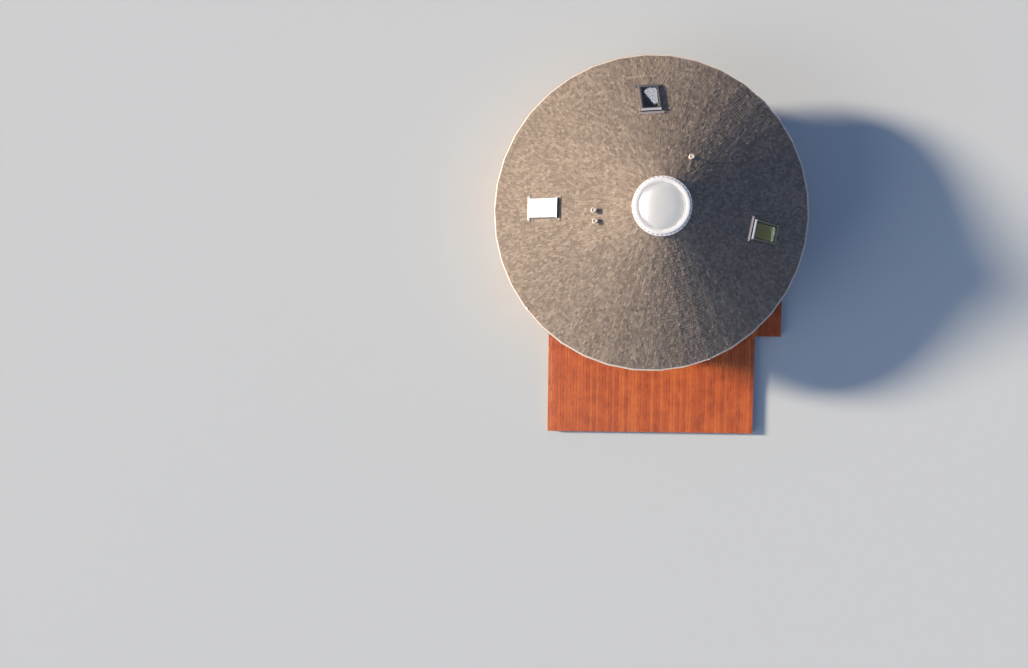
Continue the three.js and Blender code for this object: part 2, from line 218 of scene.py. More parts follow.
def addNode(tree, kind, settings=None, inputs=None, stops=None):
    # settings may be just an operation, and inputs a list in the node's own order
    # an input takes a value, a socket, or a node whose first output is then linked to it
    node = tree.nodes.new(kind)
    if isinstance(settings, str):
        settings = {"operation": settings}
    for name, value in (settings or {}).items():
        setattr(node, name, value)
    if isinstance(inputs, list):
        inputs = dict(enumerate(inputs))
    for key, value in (inputs or {}).items():
        free = [socket for socket in node.inputs if socket.name == key and socket.enabled]
        target = node.inputs[key] if isinstance(key, int) else free[0]
        if isinstance(value, bpy.types.Node):
            value = next(socket for socket in value.outputs if socket.enabled)
        if isinstance(value, bpy.types.NodeSocket):
            tree.links.new(value, target)
        else:
            target.default_value = value
    if stops:
        marks = node.color_ramp.elements
        while len(marks) < len(stops):
            marks.new(0.5)
        for mark, (position, colour) in zip(marks, stops):
            mark.position = position
            mark.color = linear(colour)
    return node


def newMaterial(name):
    material = bpy.data.materials.new(name)
    material.use_nodes = True
    material.node_tree.nodes.clear()
    node = partial(addNode, material.node_tree)
    return material, node, node("ShaderNodeTexCoord").outputs["Object"]


def endMaterial(material, node, surface):
    shader = node("ShaderNodeBsdfPrincipled", inputs=surface)
    node("ShaderNodeOutputMaterial", inputs={"Surface": shader})
    return material


def perMetre(millimetres):   # a texture's scale for a pattern of this size
    return 1000 / millimetres


# Materials
def asphaltShingle():
    # glass felt soaked in bitumen and faced with crushed stone: dull, finely mottled grey-brown
    material, node, coords = newMaterial("asphaltShingle")
    tone = node("ShaderNodeAttribute", {"attribute_name": "tone"}).outputs["Fac"]
    chips = node("ShaderNodeTexNoise", inputs={   # chips of 2 mm, drawn at 44 mm so that they show
        "Vector": coords, "Scale": perMetre(44), "Detail": 4.0, "Roughness": 0.75})
    weather = node("ShaderNodeTexNoise", inputs={
        "Vector": coords, "Scale": perMetre(1300), "Detail": 4.0, "Roughness": 0.6})
    level = -0.50
    for pattern, share in ((tone, 0.34), (chips, 1.38), (weather, 0.3)):
        level = node("ShaderNodeMath", "MULTIPLY_ADD", [pattern, share, level])
    colour = node("ShaderNodeValToRGB", inputs={"Fac": level}, stops=[
        (0.0, "#5e554f"), (0.5, "#8e8378"), (1.0, "#b9ab9b")])
    bump = node("ShaderNodeBump", inputs={"Strength": 0.5, "Distance": 0.008, "Height": chips})
    return endMaterial(material, node, {
        "Base Color": colour, "Roughness": 0.93, "Specular IOR Level": 0.1, "Normal": bump})


def cloudedFinish(name, size, detail, colours, roughness,
                  marks=(0.3, 0.7), grain=0.5, bump=None, surface=None):
    # one soft pattern, its size in millimetres, goes between two colours and between two roughnesses
    material, node, coords = newMaterial(name)
    cloud = node("ShaderNodeTexNoise", inputs={
        "Vector": coords, "Scale": perMetre(size), "Detail": detail, "Roughness": grain})
    if isinstance(colours, str):
        colour = linear(colours)
    else:
        colour = node("ShaderNodeValToRGB", inputs={"Fac": cloud}, stops=list(zip(marks, colours)))
    if isinstance(roughness, tuple):
        roughness = node("ShaderNodeMapRange", inputs={
            "Value": cloud, "To Min": roughness[0], "To Max": roughness[1]})
    values = {"Base Color": colour, "Roughness": roughness, **(surface or {})}
    if bump:
        values["Normal"] = node("ShaderNodeBump", inputs={
            "Strength": bump[0], "Distance": bump[1], "Height": cloud})
    return endMaterial(material, node, values)


def satin(roughness):   # a little glossier and a little duller in patches
    return roughness - 0.06, roughness + 0.08


def coatedSheet(name, colours, roughness):
    # polyester-coated steel sheet: even and satin, with faint streaks where rain has run off it
    return cloudedFinish(name, 160, 5.0, colours, satin(roughness), grain=0.65, bump=(0.08, 0.002))


def aluminiumSheet(name, colours, roughness, metallic):
    # folded or rolled aluminium, bare or under lacquer: satin, a little cloudy
    return cloudedFinish(name, 60, 4.0, colours, satin(roughness), surface={"Metallic": metallic})


def whiteGelcoat():
    # glass-fibre moulding with a white gelcoat: hard and glossy, a little dust in the hollows
    return cloudedFinish("whiteGelcoat", 90, 5.0, ("#eef1f2", "#f6f8f8"), 0.28, marks=(0.35, 0.6),
                         surface={"Coat Weight": 0.3, "Coat Roughness": 0.1})


def clearAcrylic():
    # blown clear acrylic: glossy, with a faint milky cast from weather and fine scratches
    return cloudedFinish("clearAcrylic", 300, 4.0, "#f2f4f4", (0.26, 0.36),
                         surface={"IOR": 1.49, "Transmission Weight": 0.87})


def opalAcrylic():
    # flat opal acrylic sheet: milky and even, light soaks through it
    return cloudedFinish("opalAcrylic", 260, 4.0, ("#d2d7d8", "#d9dddd"), 0.3, marks=(0.35, 0.65), surface={
        "IOR": 1.49, "Subsurface Weight": 0.3, "Subsurface Radius": (1.0, 1.0, 1.0),
        "Subsurface Scale": 0.004})


def stainlessSteel():
    # turned and brushed stainless steel: bright grey with fine scratches
    return cloudedFinish("stainlessSteel", 4, 3.0, "#b9bbbd", (0.24, 0.42), surface={"Metallic": 1.0})


def sealRubber():
    # extruded EPDM seal: black and dull
    return cloudedFinish("sealRubber", 25, 3.0, ("#161616", "#262625"), 0.7)


def floatGlass():
    # double float glass: clear with a faint green cast, mirror-like outside, a light film of dust
    return cloudedFinish("clearFloatGlass", 400, 3.0, "#eef6f1", (0.0, 0.04),
                         surface={"IOR": 1.52, "Transmission Weight": 1.0})


def awningCloth():
    # white coated polyester mesh of 0.5 mm threads, drawn at 6 mm: matt, with a sheen at its edges
    return cloudedFinish("awningCloth", 6, 2.0, ("#f0f0ef", "#fbfbfa"), 0.9, surface={"Sheen Weight": 0.2})


def paintedJoinery():
    # planed pine under off-white alkyd paint: satin, with soft brush marks and a little dirt
    return cloudedFinish("paintedJoinery", 50, 5.0, ("#dcd8cf", "#e9e6df"), 0.42, marks=(0.3, 0.65),
                         bump=(0.1, 0.001))


def castConcrete():
    # cast concrete: grey and cloudy, with small air holes
    material, node, coords = newMaterial("castConcrete")
    clouds = node("ShaderNodeTexNoise", inputs={"Vector": coords, "Scale": perMetre(260), "Detail": 6.0})
    holes = node("ShaderNodeTexVoronoi", inputs={"Vector": coords, "Scale": perMetre(35)})
    pits = node("ShaderNodeMapRange", inputs={"Value": holes, "From Max": 0.25})
    colour = node("ShaderNodeValToRGB", inputs={"Fac": clouds}, stops=[(0.3, "#8b8984"), (0.7, "#aba8a1")])
    bump = node("ShaderNodeBump", inputs={"Strength": 0.35, "Distance": 0.002, "Height": pits})
    return endMaterial(material, node, {"Base Color": colour, "Roughness": 0.88, "Normal": bump})


def woodFinish(name, colours, grain, roughness, boardTone=0.6, knots=0.12, blotches=0.5):
    # sawn or planed softwood under its finish: long fibres, darker late wood, a few knots
    # grain is the size of the figure in millimetres along x, y and z
    material, node, coords = newMaterial(name)
    tone = node("ShaderNodeAttribute", {"attribute_name": "tone"})
    shift = node("ShaderNodeVectorMath", "MULTIPLY_ADD", [   # each board gets its own figure
        tone.outputs["Vector"], (9.0, 9.0, 9.0), coords])
    stretched = node("ShaderNodeMapping", inputs={
        "Vector": shift, "Scale": [perMetre(size) for size in grain]})
    figure = node("ShaderNodeTexNoise", inputs={
        "Vector": stretched, "Scale": 1.0, "Detail": 4.0, "Roughness": 0.6, "Distortion": 0.6})
    patches = node("ShaderNodeTexNoise", inputs={
        "Vector": coords, "Scale": perMetre(520), "Detail": 4.0, "Roughness": 0.6})
    knotSpots = node("ShaderNodeTexVoronoi", inputs={"Vector": shift, "Scale": perMetre(420)})
    knot = node("ShaderNodeMapRange", inputs={
        "Value": knotSpots, "From Min": 0.02, "From Max": 0.08, "To Min": -knots, "To Max": 0.0})
    level = (0.5 - blotches - boardTone) / 2
    for pattern, share in ((tone.outputs["Fac"], boardTone), (knot, 1.0), (figure, 0.5), (patches, blotches)):
        level = node("ShaderNodeMath", "MULTIPLY_ADD", [pattern, share, level])
    colour = node("ShaderNodeValToRGB", inputs={"Fac": level}, stops=list(zip((0.1, 0.5, 0.9), colours)))
    wear = node("ShaderNodeMapRange", inputs={
        "Value": figure, "To Min": roughness - 0.08, "To Max": roughness + 0.08})
    bump = node("ShaderNodeBump", inputs={"Strength": 0.25, "Distance": 0.002, "Height": figure})
    return endMaterial(material, node, {"Base Color": colour, "Roughness": wear, "Normal": bump})


def roofBoards():
    # spruce boards in rings, seen from inside; black felt on top, and off-white paint on the outer edge
    boardWidth, edgeRadius = 0.120, 6.39
    material, node, coords = newMaterial("roofBoards")
    away = node("ShaderNodeVectorMath", "MULTIPLY", [coords, (1.0, 1.0, 0.0)])
    away = node("ShaderNodeVectorMath", "LENGTH", [away])
    board = node("ShaderNodeMath", "DIVIDE", [away, boardWidth])
    joint = node("ShaderNodeMath", "FRACT", [board])
    joint = node("ShaderNodeMapRange", inputs={"Value": joint, "From Max": 0.05})
    number = node("ShaderNodeMath", "FLOOR", [board])
    shade = node("ShaderNodeTexWhiteNoise", {"noise_dimensions": "1D"}, {"W": number})
    figure = node("ShaderNodeTexNoise", inputs={"Vector": coords, "Scale": perMetre(40), "Detail": 4.0})
    level = node("ShaderNodeMath", "MULTIPLY", [shade, 0.4])
    level = node("ShaderNodeMath", "MULTIPLY_ADD", [figure, 0.6, level])
    wood = node("ShaderNodeValToRGB", inputs={"Fac": level}, stops=[
        (0.2, "#b08a5a"), (0.5, "#c9a573"), (0.8, "#d8b98a")])
    facing = node("ShaderNodeTexCoord").outputs["Normal"]
    facing = node("ShaderNodeSeparateXYZ", inputs={"Vector": facing}).outputs["Z"]
    top = node("ShaderNodeMath", "GREATER_THAN", [facing, 0.2])
    rim = node("ShaderNodeMath", "GREATER_THAN", [away, edgeRadius])
    colour = linear("#4a3520")
    for share, cover in ((joint, wood), (top, linear("#3a3531")), (rim, linear("#e2ded5"))):
        colour = node("ShaderNodeMix", {"data_type": "RGBA"}, {"Factor": share, "A": colour, "B": cover})
    bump = node("ShaderNodeBump", inputs={"Strength": 0.4, "Distance": 0.004, "Height": joint})
    return endMaterial(material, node, {"Base Color": colour, "Roughness": 0.7, "Normal": bump})


print("materials")
look = {
    "shingle": asphaltShingle(),
    "roofBoards": roofBoards(),
    "eaveSheet": coatedSheet("creamCoatedSteel", ("#d3cabf", "#e2d9cf"), 0.45),
    "ventSheet": coatedSheet("ventCoatedSteel", ("#bdb4a9", "#cdc5ba"), 0.5),
    # the hood is drawn much lighter than the covers: partly bare aluminium, partly a painted highlight for
    # the bright strip along the window's head
    "hood": aluminiumSheet("brightHood", ("#dadada", "#e6e6e6"), 0.36, 0.3),
    # the saddle's light pinkish grey is partly its own colour and partly a painted reflection of the warm
    # glow from the west
    "saddle": aluminiumSheet("dullSaddle", ("#a69b99", "#b6abaa"), 0.5, 0.3),
    "apron": aluminiumSheet("greyApron", ("#655f5a", "#726c66"), 0.6, 0.2),
    "coverStrip": aluminiumSheet("greyLacquer", ("#66676b", "#74757a"), 0.34, 0.45),
    "sill": aluminiumSheet("naturalAluminium", ("#b4b6b8", "#c2c4c6"), 0.36, 0.6),
    "gelcoat": whiteGelcoat(),
    "clearDome": clearAcrylic(),
    "opal": opalAcrylic(),
    "steel": stainlessSteel(),
    "rubber": sealRubber(),
    "glass": floatGlass(),
    "awning": awningCloth(),
    # red-orange oil on pine: board from board differs little, worn and faded spots a lot
    "deck": woodFinish("oiledDeckBoard", ("#752c14", "#c05a28", "#de7f3a"), (26, 200, 26), 0.66,
                       boardTone=0.24, knots=0.4, blotches=0.7),
    # brown stain on sawn spruce
    "cladding": woodFinish("stainedCladding", ("#6d4a30", "#92683f", "#a97f54"), (6, 6, 220), 0.68),
    "trim": woodFinish("stainedTrim", ("#5d3f29", "#7d5836", "#916a45"), (6, 6, 220), 0.66),
    # bare planed spruce, yellowed by daylight
    "frameTimber": woodFinish("planedSpruce", ("#b08958", "#c8a26d", "#d8b888"), (30, 30, 30), 0.62),
    "panelling": woodFinish("sprucePanelling", ("#b8935f", "#cda873", "#dcbc8c"), (7, 7, 240), 0.6),
    # oiled pine, worn smooth
    "floorBoards": woodFinish("oiledPineFloor", ("#98703f", "#b0854f", "#c39a64"), (9, 300, 9), 0.42),
    # dark stain under satin varnish
    "doorWood": woodFinish("darkStainedDoor", ("#3a2517", "#523521", "#66452c"), (6, 6, 260), 0.45),
    # pressure-treated pine: greenish brown and dull
    "treated": woodFinish("treatedPine", ("#6f6142", "#8a7a55", "#9c8c66"), (25, 25, 25), 0.75),
    "concrete": castConcrete(),
    "paint": paintedJoinery(),
}

carried = {   # looks of the CAD nodes that stay
    "foundation_slab": "concrete", "entrance_step": "concrete", "floor_platform": "floorBoards",
    "wall_plate": "frameTimber", "rafters_and_crown": "frameTimber", "roof_deck": "roofBoards",
    "fascia": "paint", "drip_edge": "eaveSheet", "entrance_door": "doorWood",
    "deck_frame": "treated", "wing_frame": "treated",
}
for name, node in nodes.items():
    choice = carried.get(name)
    if choice is None and name.startswith("wall_"):
        choice = "panelling"
    elif name.endswith("_glass"):
        choice = "glass"
    elif choice is None and name.endswith("_frame"):
        choice = "coverStrip" if name.startswith("roof_window") else "paint"
    if choice:
        node.data.materials.clear()
        node.data.materials.append(look[choice])
    if choice == "glass":
        node.visible_shadow = node.visible_diffuse = False   # a lamp's light passes a pane freely


# Geometry Nodes: each tree repeats one shape
def newTree(name, wholes, sizes):   # its named inputs: whole numbers and sizes, the shape and its material
    tree = bpy.data.node_groups.new(name, "GeometryNodeTree")
    kinds = {"Int": wholes, "Float": sizes, "Object": ["Shape"], "Material": ["Material"]}
    for kind, labels in kinds.items():
        for label in labels:
            tree.interface.new_socket(name=label, in_out="INPUT", socket_type=f"NodeSocket{kind}")
    tree.interface.new_socket(name="Geometry", in_out="OUTPUT", socket_type="NodeSocketGeometry")
    node = partial(addNode, tree)
    return tree, node, node("NodeGroupInput").outputs


def endTree(node, given, points, turned=None):   # the shape on every point
    shape = node("GeometryNodeObjectInfo", inputs={"Object": given["Shape"]}).outputs["Geometry"]
    placed = node("GeometryNodeInstanceOnPoints", inputs={
        "Points": points, "Instance": shape, **(turned or {})})
    whole = node("GeometryNodeRealizeInstances", inputs={"Geometry": placed})
    finished = node("GeometryNodeSetMaterial", inputs={"Geometry": whole, "Material": given["Material"]})
    node("NodeGroupOutput", inputs={"Geometry": finished})


def repeatShape(name, tree, shape, values, finish):   # runs a tree, and returns the result as a plain mesh
    template = addObject(f"{name}_shape", meshFrom(shape, f"{name}_shape"))
    holder = addObject(name, bpy.data.meshes.new(name))
    modifier = holder.modifiers.new(name, "NODES")
    modifier.node_group = tree
    sockets = {item.name: item.identifier for item in tree.interface.items_tree if item.in_out == "INPUT"}
    for label, value in {**values, "Shape": template, "Material": look[finish]}.items():
        modifier[sockets[label]] = value
    bpy.context.view_layer.update()
    mesh = bpy.data.meshes.new_from_object(holder.evaluated_get(bpy.context.evaluated_depsgraph_get()))
    holder.modifiers.remove(modifier)
    for thing in (holder, template):
        bpy.data.objects.remove(thing)
    return mesh


# Roof covering
shingles = {
    "courses": 44,
    "startRadius": 6.352,      # lower edge of the first course, on the corner lines
    "endRadius": 1.09,
    "tabWidth": 0.095,
    "wander": 0.22,            # how far a joint strays, as a share of a tab
    "joint": 0.008,
    "butt": 0.021,             # the thickest lower edge
    "thinnest": 0.45,          # the thinnest one, as a share of it
    "thinTop": 0.2,            # a tab's upper edge, as a share of its lower edge
    "nod": (-0.008, 0.03),     # how far a tab tips down or up the slope, in radians
    "lean": 0.085,             # and to either side
    "overlap": 1.06,
    "bare": (0.37, 0.555),     # half the width and length round a roof window that stay without tabs
    "light": (0.345, 0.535),   # half the width and length that no tab reaches into
    "seed": 11,
}


def shingleTree():
    tree, node, given = newTree("shingleCourses", ["Courses", "Places", "Seed"], [
        "Start radius", "Run", "Tab width", "Wander", "Joint", "Butt", "Tab length"])

    # the number of each place gives its course and its tab in the course
    index = node("GeometryNodeInputIndex")
    course = node("ShaderNodeMath", "DIVIDE", [index, given["Places"]])
    course = node("ShaderNodeMath", "FLOOR", [course])
    firstKey = node("ShaderNodeMath", "MULTIPLY", [course, given["Places"]])
    tab = node("ShaderNodeMath", "SUBTRACT", [index, firstKey])
    inward = node("ShaderNodeMath", "MULTIPLY", [course, given["Run"]])
    edge = node("ShaderNodeMath", "SUBTRACT", [given["Start radius"], inward])
    girth = node("ShaderNodeMath", "MULTIPLY", [edge, 2 * math.pi])
    count = node("ShaderNodeMath", "DIVIDE", [girth, given["Tab width"]])
    count = node("ShaderNodeMath", "ROUND", [count])
    sweep = node("ShaderNodeMath", "DIVIDE", [2 * math.pi, count])

    # joints stray to both sides, and a tab fills the width between its two joints
    seeds = [node("ShaderNodeMath", "ADD", [given["Seed"], step]) for step in range(5)]
    start = node("FunctionNodeRandomValue", inputs={"ID": course, "Seed": seeds[0]})
    start = node("ShaderNodeMath", "MULTIPLY", [start, sweep])
    following = node("ShaderNodeMath", "ADD", [tab, 1.0])
    wrapped = node("ShaderNodeMath", "MODULO", [following, count])
    nextKey = node("ShaderNodeMath", "ADD", [firstKey, wrapped])
    back = node("ShaderNodeMath", "MULTIPLY", [given["Wander"], -1.0])
    angles = []
    for key, number in ((index, tab), (nextKey, following)):
        stray = node("FunctionNodeRandomValue", inputs={
            "Min": back, "Max": given["Wander"], "ID": key, "Seed": seeds[1]})
        place = node("ShaderNodeMath", "ADD", [number, stray])
        angles.append(node("ShaderNodeMath", "MULTIPLY_ADD", [place, sweep, start]))
    angle = node("ShaderNodeMath", "ADD", angles)
    angle = node("ShaderNodeMath", "MULTIPLY", [angle, 0.5])
    apothem = node("ShaderNodeMath", "MULTIPLY", [edge, math.cos(roofStep / 2)])
    width = node("ShaderNodeMath", "SUBTRACT", [angles[1], angles[0]])
    width = node("ShaderNodeMath", "MULTIPLY", [width, apothem])
    width = node("ShaderNodeMath", "SUBTRACT", [width, given["Joint"]])

    # the facet that the tab lies on
    facet = node("ShaderNodeMath", "SUBTRACT", [angle, house["turn"]])
    facet = node("ShaderNodeMath", "DIVIDE", [facet, roofStep])
    facet = node("ShaderNodeMath", "FLOOR", [facet])
    azimuth = node("ShaderNodeMath", "MULTIPLY_ADD", [facet, roofStep, house["turn"] + roofStep / 2])
    sideways = node("ShaderNodeMath", "SUBTRACT", [angle, azimuth])
    sideways = node("ShaderNodeMath", "TANGENT", [sideways])
    sideways = node("ShaderNodeMath", "MULTIPLY", [sideways, apothem])
    height = node("ShaderNodeMath", "MULTIPLY_ADD", [edge, -house["rise"], roofHeight(0)])
    onFacet = node("ShaderNodeCombineXYZ", inputs=[apothem, sideways, height])
    uphill = (-math.cos(facetPitch), 0.0, math.sin(facetPitch))
    away = (math.sin(facetPitch), 0.0, math.cos(facetPitch))
    position, uphill, away = [node("ShaderNodeVectorRotate", {"rotation_type": "Z_AXIS"}, {
        "Vector": vector, "Angle": azimuth}) for vector in (onFacet, uphill, away)]
    rotation = node("FunctionNodeAxesToRotation", {"primary_axis": "Z", "secondary_axis": "Y"}, {
        "Primary Axis": away, "Secondary Axis": uphill})

    # no two tabs lie quite alike
    (down, up), lean = shingles["nod"], shingles["lean"]
    rock = node("FunctionNodeRandomValue", {"data_type": "FLOAT_VECTOR"}, {
        "Min": (down, -lean, 0.0), "Max": (up, lean, 0.0), "ID": index, "Seed": seeds[4]})
    rock = node("FunctionNodeEulerToRotation", inputs=[rock])
    rotation = node("FunctionNodeRotateRotation", {"rotation_space": "LOCAL"}, {
        "Rotation": rotation, "Rotate By": rock})
    thick = node("FunctionNodeRandomValue", inputs={
        "Min": shingles["thinnest"], "ID": index, "Seed": seeds[3]})
    thick = node("ShaderNodeMath", "MULTIPLY", [thick, given["Butt"]])
    size = node("ShaderNodeCombineXYZ", inputs=[width, given["Tab length"], thick])
    tone = node("FunctionNodeRandomValue", inputs={"ID": index, "Seed": seeds[2]})

    # places past the end of a course, and those inside a roof window, stay empty
    lastTab = node("ShaderNodeMath", "SUBTRACT", [count, 0.5])
    unused = node("ShaderNodeMath", "GREATER_THAN", [tab, lastTab])
    centre = node("ShaderNodeMath", "MULTIPLY_ADD", [given["Run"], 0.5, house["roofWindowRadius"]])
    for corner in roofCornerOf.values():
        seen = node("ShaderNodeVectorRotate", {"rotation_type": "Z_AXIS"}, {
            "Vector": position, "Angle": -(house["turn"] + corner * roofStep)})
        seen = node("ShaderNodeSeparateXYZ", inputs=[seen])
        along = node("ShaderNodeMath", "SUBTRACT", [seen.outputs["X"], centre])
        inside = []
        for distance, limit in ((seen.outputs["Y"], shingles["bare"][0]), (along, shingles["bare"][1])):
            distance = node("ShaderNodeMath", "ABSOLUTE", [distance])
            inside.append(node("ShaderNodeMath", "LESS_THAN", [distance, limit]))
        within = node("ShaderNodeMath", "MULTIPLY", inside)
        unused = node("ShaderNodeMath", "MAXIMUM", [unused, within])

    total = node("ShaderNodeMath", "MULTIPLY", [given["Courses"], given["Places"]])
    points = node("GeometryNodePoints", inputs={"Count": total, "Position": position})
    kept = {"tone": (tone, "FLOAT"), "turnTo": (rotation, "QUATERNION"), "sizeTo": (size, "FLOAT_VECTOR")}
    for label, (value, kind) in kept.items():
        points = node("GeometryNodeStoreNamedAttribute", {"data_type": kind, "domain": "POINT"}, {
            "Geometry": points, "Name": label, "Value": value})
    points = node("GeometryNodeDeleteGeometry", {"domain": "POINT"}, [points, unused])
    endTree(node, given, points, {
        "Rotation": node("GeometryNodeInputNamedAttribute", {"data_type": "QUATERNION"}, ["turnTo"]),
        "Scale": node("GeometryNodeInputNamedAttribute", {"data_type": "FLOAT_VECTOR"}, ["sizeTo"])})
    return tree


def trimToRoofWindows(mesh):   # moves the ends that reach into a window's light back into its frame
    halfWidth, halfLength = shingles["light"]
    for corner in roofCornerOf.values():
        place = roofWindowPlace(corner)
        back = place.inverted()
        for vert in mesh.vertices:
            x, y, z = back @ vert.co
            if abs(x) < halfWidth and abs(y) < halfLength:
                if halfWidth - abs(x) < halfLength - abs(y):
                    x = math.copysign(halfWidth, x)
                else:
                    y = math.copysign(halfLength, y)
                vert.co = place @ Vector((x, y, z))


def makeShingles():
    tab = newMesh()   # a wedge of unit size, thick at its lower edge
    foot = rectangle(-0.5, 0.5, 0, 1, 0)
    addSweep(tab, [foot, [(x, y, 1 - (1 - shingles["thinTop"]) * y) for x, y, _ in foot]])
    tab.verts.layers.float.remove(tab.verts.layers.float["tone"])
    run = (shingles["startRadius"] - shingles["endRadius"]) / shingles["courses"]
    places = math.ceil(2 * math.pi * shingles["startRadius"] / shingles["tabWidth"]) + 2
    mesh = repeatShape("roof_shingles", shingleTree(), tab, {
        "Courses": shingles["courses"], "Places": places, "Seed": shingles["seed"],
        "Start radius": shingles["startRadius"], "Run": run, "Tab width": shingles["tabWidth"],
        "Wander": shingles["wander"], "Joint": shingles["joint"], "Butt": shingles["butt"],
        "Tab length": run / math.cos(facetPitch) * shingles["overlap"]}, "shingle")
    for label in ("turnTo", "sizeTo"):   # they have done their work
        mesh.attributes.remove(mesh.attributes[label])
    trimToRoofWindows(mesh)
    finishPiece("roof_shingles", mesh, "shingle")


def makeStarterStrip():   # a flat band on the 38 facets, under the first course
    inner, outer, low, high = 6.30, 6.3875, 0.0004, 0.005
    profile = [(outer, low), (outer, high), (inner, high), (inner, low)]
    bm = newMesh()
    addLathe(bm, [(radius, roofHeight(radius) + z) for radius, z in profile], house["roofSides"],
             turn=house["turn"], closed=True)
    finishPiece("starter_strip", bm, "shingle")


print("roof covering")
makeShingles()
makeStarterStrip()


# Crown light
crown = {
    "holeRadius": 0.96,        # of the hole in the roof
    "flangeRadius": 1.135,
    "ringHeight": 0.022,       # of the raised ring inside the flange
    "boltRadius": 1.088,
    "bolts": 40,
    "domeRadius": 0.908,
    "domeRise": 0.33,
    "domeSheet": 0.008,
    "domeFullness": 0.92,      # 1 gives half an ellipse, less a fuller shoulder
    "paneRadius": 0.868,       # what is seen of the flat inner pane
    "bore": 0.885,
    "lining": 0.012,
    "liningRadius": 0.8765,
    "liningDepth": 0.32,       # below the roof's surface at the shaft
}
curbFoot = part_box("dome_curb")[0].z
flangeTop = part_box("dome_curb")[1].z - crown["ringHeight"]


def makeCurb():
    outer, lip, bore, base = crown["flangeRadius"], crown["paneRadius"], crown["bore"], 1.085
    profile = [   # radius, and height over the flange: its edge, the ring over the dome's brim, the lip
        (base, -0.045), (outer - 0.006, -0.045), (outer, -0.039), (outer, -0.014), (outer - 0.003, -0.009),
        (outer - 0.009, -0.004), (1.058, -0.001), (1.052, 0.003), (1.047, 0.016), (1.042, 0.021),
        (1.036, 0.022), (0.921, 0.022), (0.9145, 0.0205), (0.9125, 0.017), (0.9125, 0.012), (0.941, 0.010),
        (0.941, -0.008), (lip, -0.008), (lip, -0.024), (bore, -0.026),
    ]
    profile = [(radius, flangeTop + z) for radius, z in profile]
    foot = [(radius, curbFoot + 0.05) for radius in (bore, crown["holeRadius"])]
    bm = newMesh()
    addLathe(bm, [(base, roofHeight(base) + 0.0003)] + profile + foot, 4 * house["roofSides"],
             turn=house["turn"], closed=True)
    finishPiece("crown_curb", bm, "gelcoat", ["dome_curb"], smooth=35)


def makeDome():
    radius, sheet, steps = crown["domeRadius"], crown["domeSheet"], 20
    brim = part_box("dome")[0].z
    seat = brim + sheet

    def shell(radius, base):   # from the brim up to the pole
        arc = [math.pi / 2 * i / steps for i in range(steps)]
        points = [(radius * math.cos(a) ** crown["domeFullness"], base + crown["domeRise"] * math.sin(a))
                  for a in arc]
        return points + [(0, base + crown["domeRise"])]
    edge = [(0.934, brim), (0.938, brim + 0.003), (0.938, seat - 0.002), (0.935, seat)]
    fillet = [(radius + 0.012, seat), (radius + 0.004, seat + 0.003)]
    bm = newMesh()
    addLathe(bm, shell(radius - sheet, brim)[::-1] + edge + fillet + shell(radius, seat), 120)
    piece = finishPiece("crown_dome", bm, "clearDome", ["dome"], smooth=40)
    piece.visible_shadow = piece.visible_diffuse = False   # as for the panes


def makeInnerPane():   # flat opal sheet held under the lip of the curb
    rim, top, sheet = crown["bore"] - 0.0008, flangeTop - 0.0264, 0.005
    bm = newMesh()
    addLathe(bm, [(0, top - sheet), (rim, top - sheet), (rim, top), (0, top)], 96)
    finishPiece("crown_pane", bm, "opal")


def makeCrownLining():   # painted boards that line the light shaft, and a trim round its lower end
    low, high = roofHeight(crown["holeRadius"]) - crown["liningDepth"], flangeTop - 0.034
    outer, trimOuter, trimHigh = crown["liningRadius"], 1.0, low - 0.0005
    inner = outer - crown["lining"]
    bm = newMesh()
    for profile in ([(outer, low), (outer, high), (inner, high), (inner, low)],
                    [(inner, low - 0.02), (inner, trimHigh), (trimOuter, trimHigh), (trimOuter, low - 0.02)]):
        addLathe(bm, profile, 2 * house["roofSides"], turn=house["turn"], closed=True)
    finishPiece("crown_lining", bm, "paint", smooth=30)


def boltTree():
    tree, node, given = newTree("ringOfBolts", ["Count"], ["Radius", "Height"])
    circle = node("GeometryNodeMeshCircle", inputs={"Vertices": given["Count"], "Radius": given["Radius"]})
    lift = node("ShaderNodeCombineXYZ", inputs={"Z": given["Height"]})
    raised = node("GeometryNodeSetPosition", inputs={"Geometry": circle, "Offset": lift})
    endTree(node, given, raised)
    return tree


def makeFlangeBolts():
    tree = boltTree()
    sizes = {"Count": crown["bolts"], "Radius": crown["boltRadius"], "Height": flangeTop - 0.0018}
    for name, finish, profile in (
        # the black washers are drawn wide, so that round each bolt they also paint the dark mark of its
        # shadow on the white flange
        ("flange_washers", "rubber", [(0, 0), (0.021, 0), (0.021, 0.003), (0.0165, 0.005), (0, 0.005)]),
        ("flange_bolts", "steel", [(0, 0.005), (0.01, 0.005), (0.01, 0.018), (0.006, 0.022), (0, 0.022)]),
    ):
        bm = newMesh()
        addLathe(bm, profile, 8)
        finishPiece(name, repeatShape(name, tree, bm, sizes, finish), finish)


print("crown light")
makeCurb()
makeDome()
makeInnerPane()
makeCrownLining()
makeFlangeBolts()


# Roof windows, each in its own place: x across, y up the slope, z off the roof
roofWindow = {
    "halfWidth": 0.39,
    "halfLength": 0.59,
    "side": 0.088,             # from the frame's edge to the pane
    "end": 0.112,
    "proud": 0.100,            # the frame's height off the roof
    "hood": 0.041,             # length of the hood at the head
    "saddle": 0.98,            # width of the folded sheet behind the head
    "apron": 1.0792,           # width of the sheet below the window
    "sheetLow": 0.0125,        # the sheets lie this high, on the shingles
    "aside": 0.0006,           # from the frame to the sheets round it
    "above": 0.0003,           # from the frame to what lies on it
    "awningOn": "left",
    "awningBar": 0.92,
}


frameWide, frameLong, frameTop = roofWindow["halfWidth"], roofWindow["halfLength"], roofWindow["proud"]
paneWide, paneLong = frameWide - roofWindow["side"], frameLong - roofWindow["end"]
hoodFrom = frameLong - roofWindow["hood"]
sheetLow, aside = roofWindow["sheetLow"], roofWindow["aside"]
frameSeat = frameTop + roofWindow["above"]


def around(halfWidth, halfLength):
    return -halfWidth, halfWidth, -halfLength, halfLength


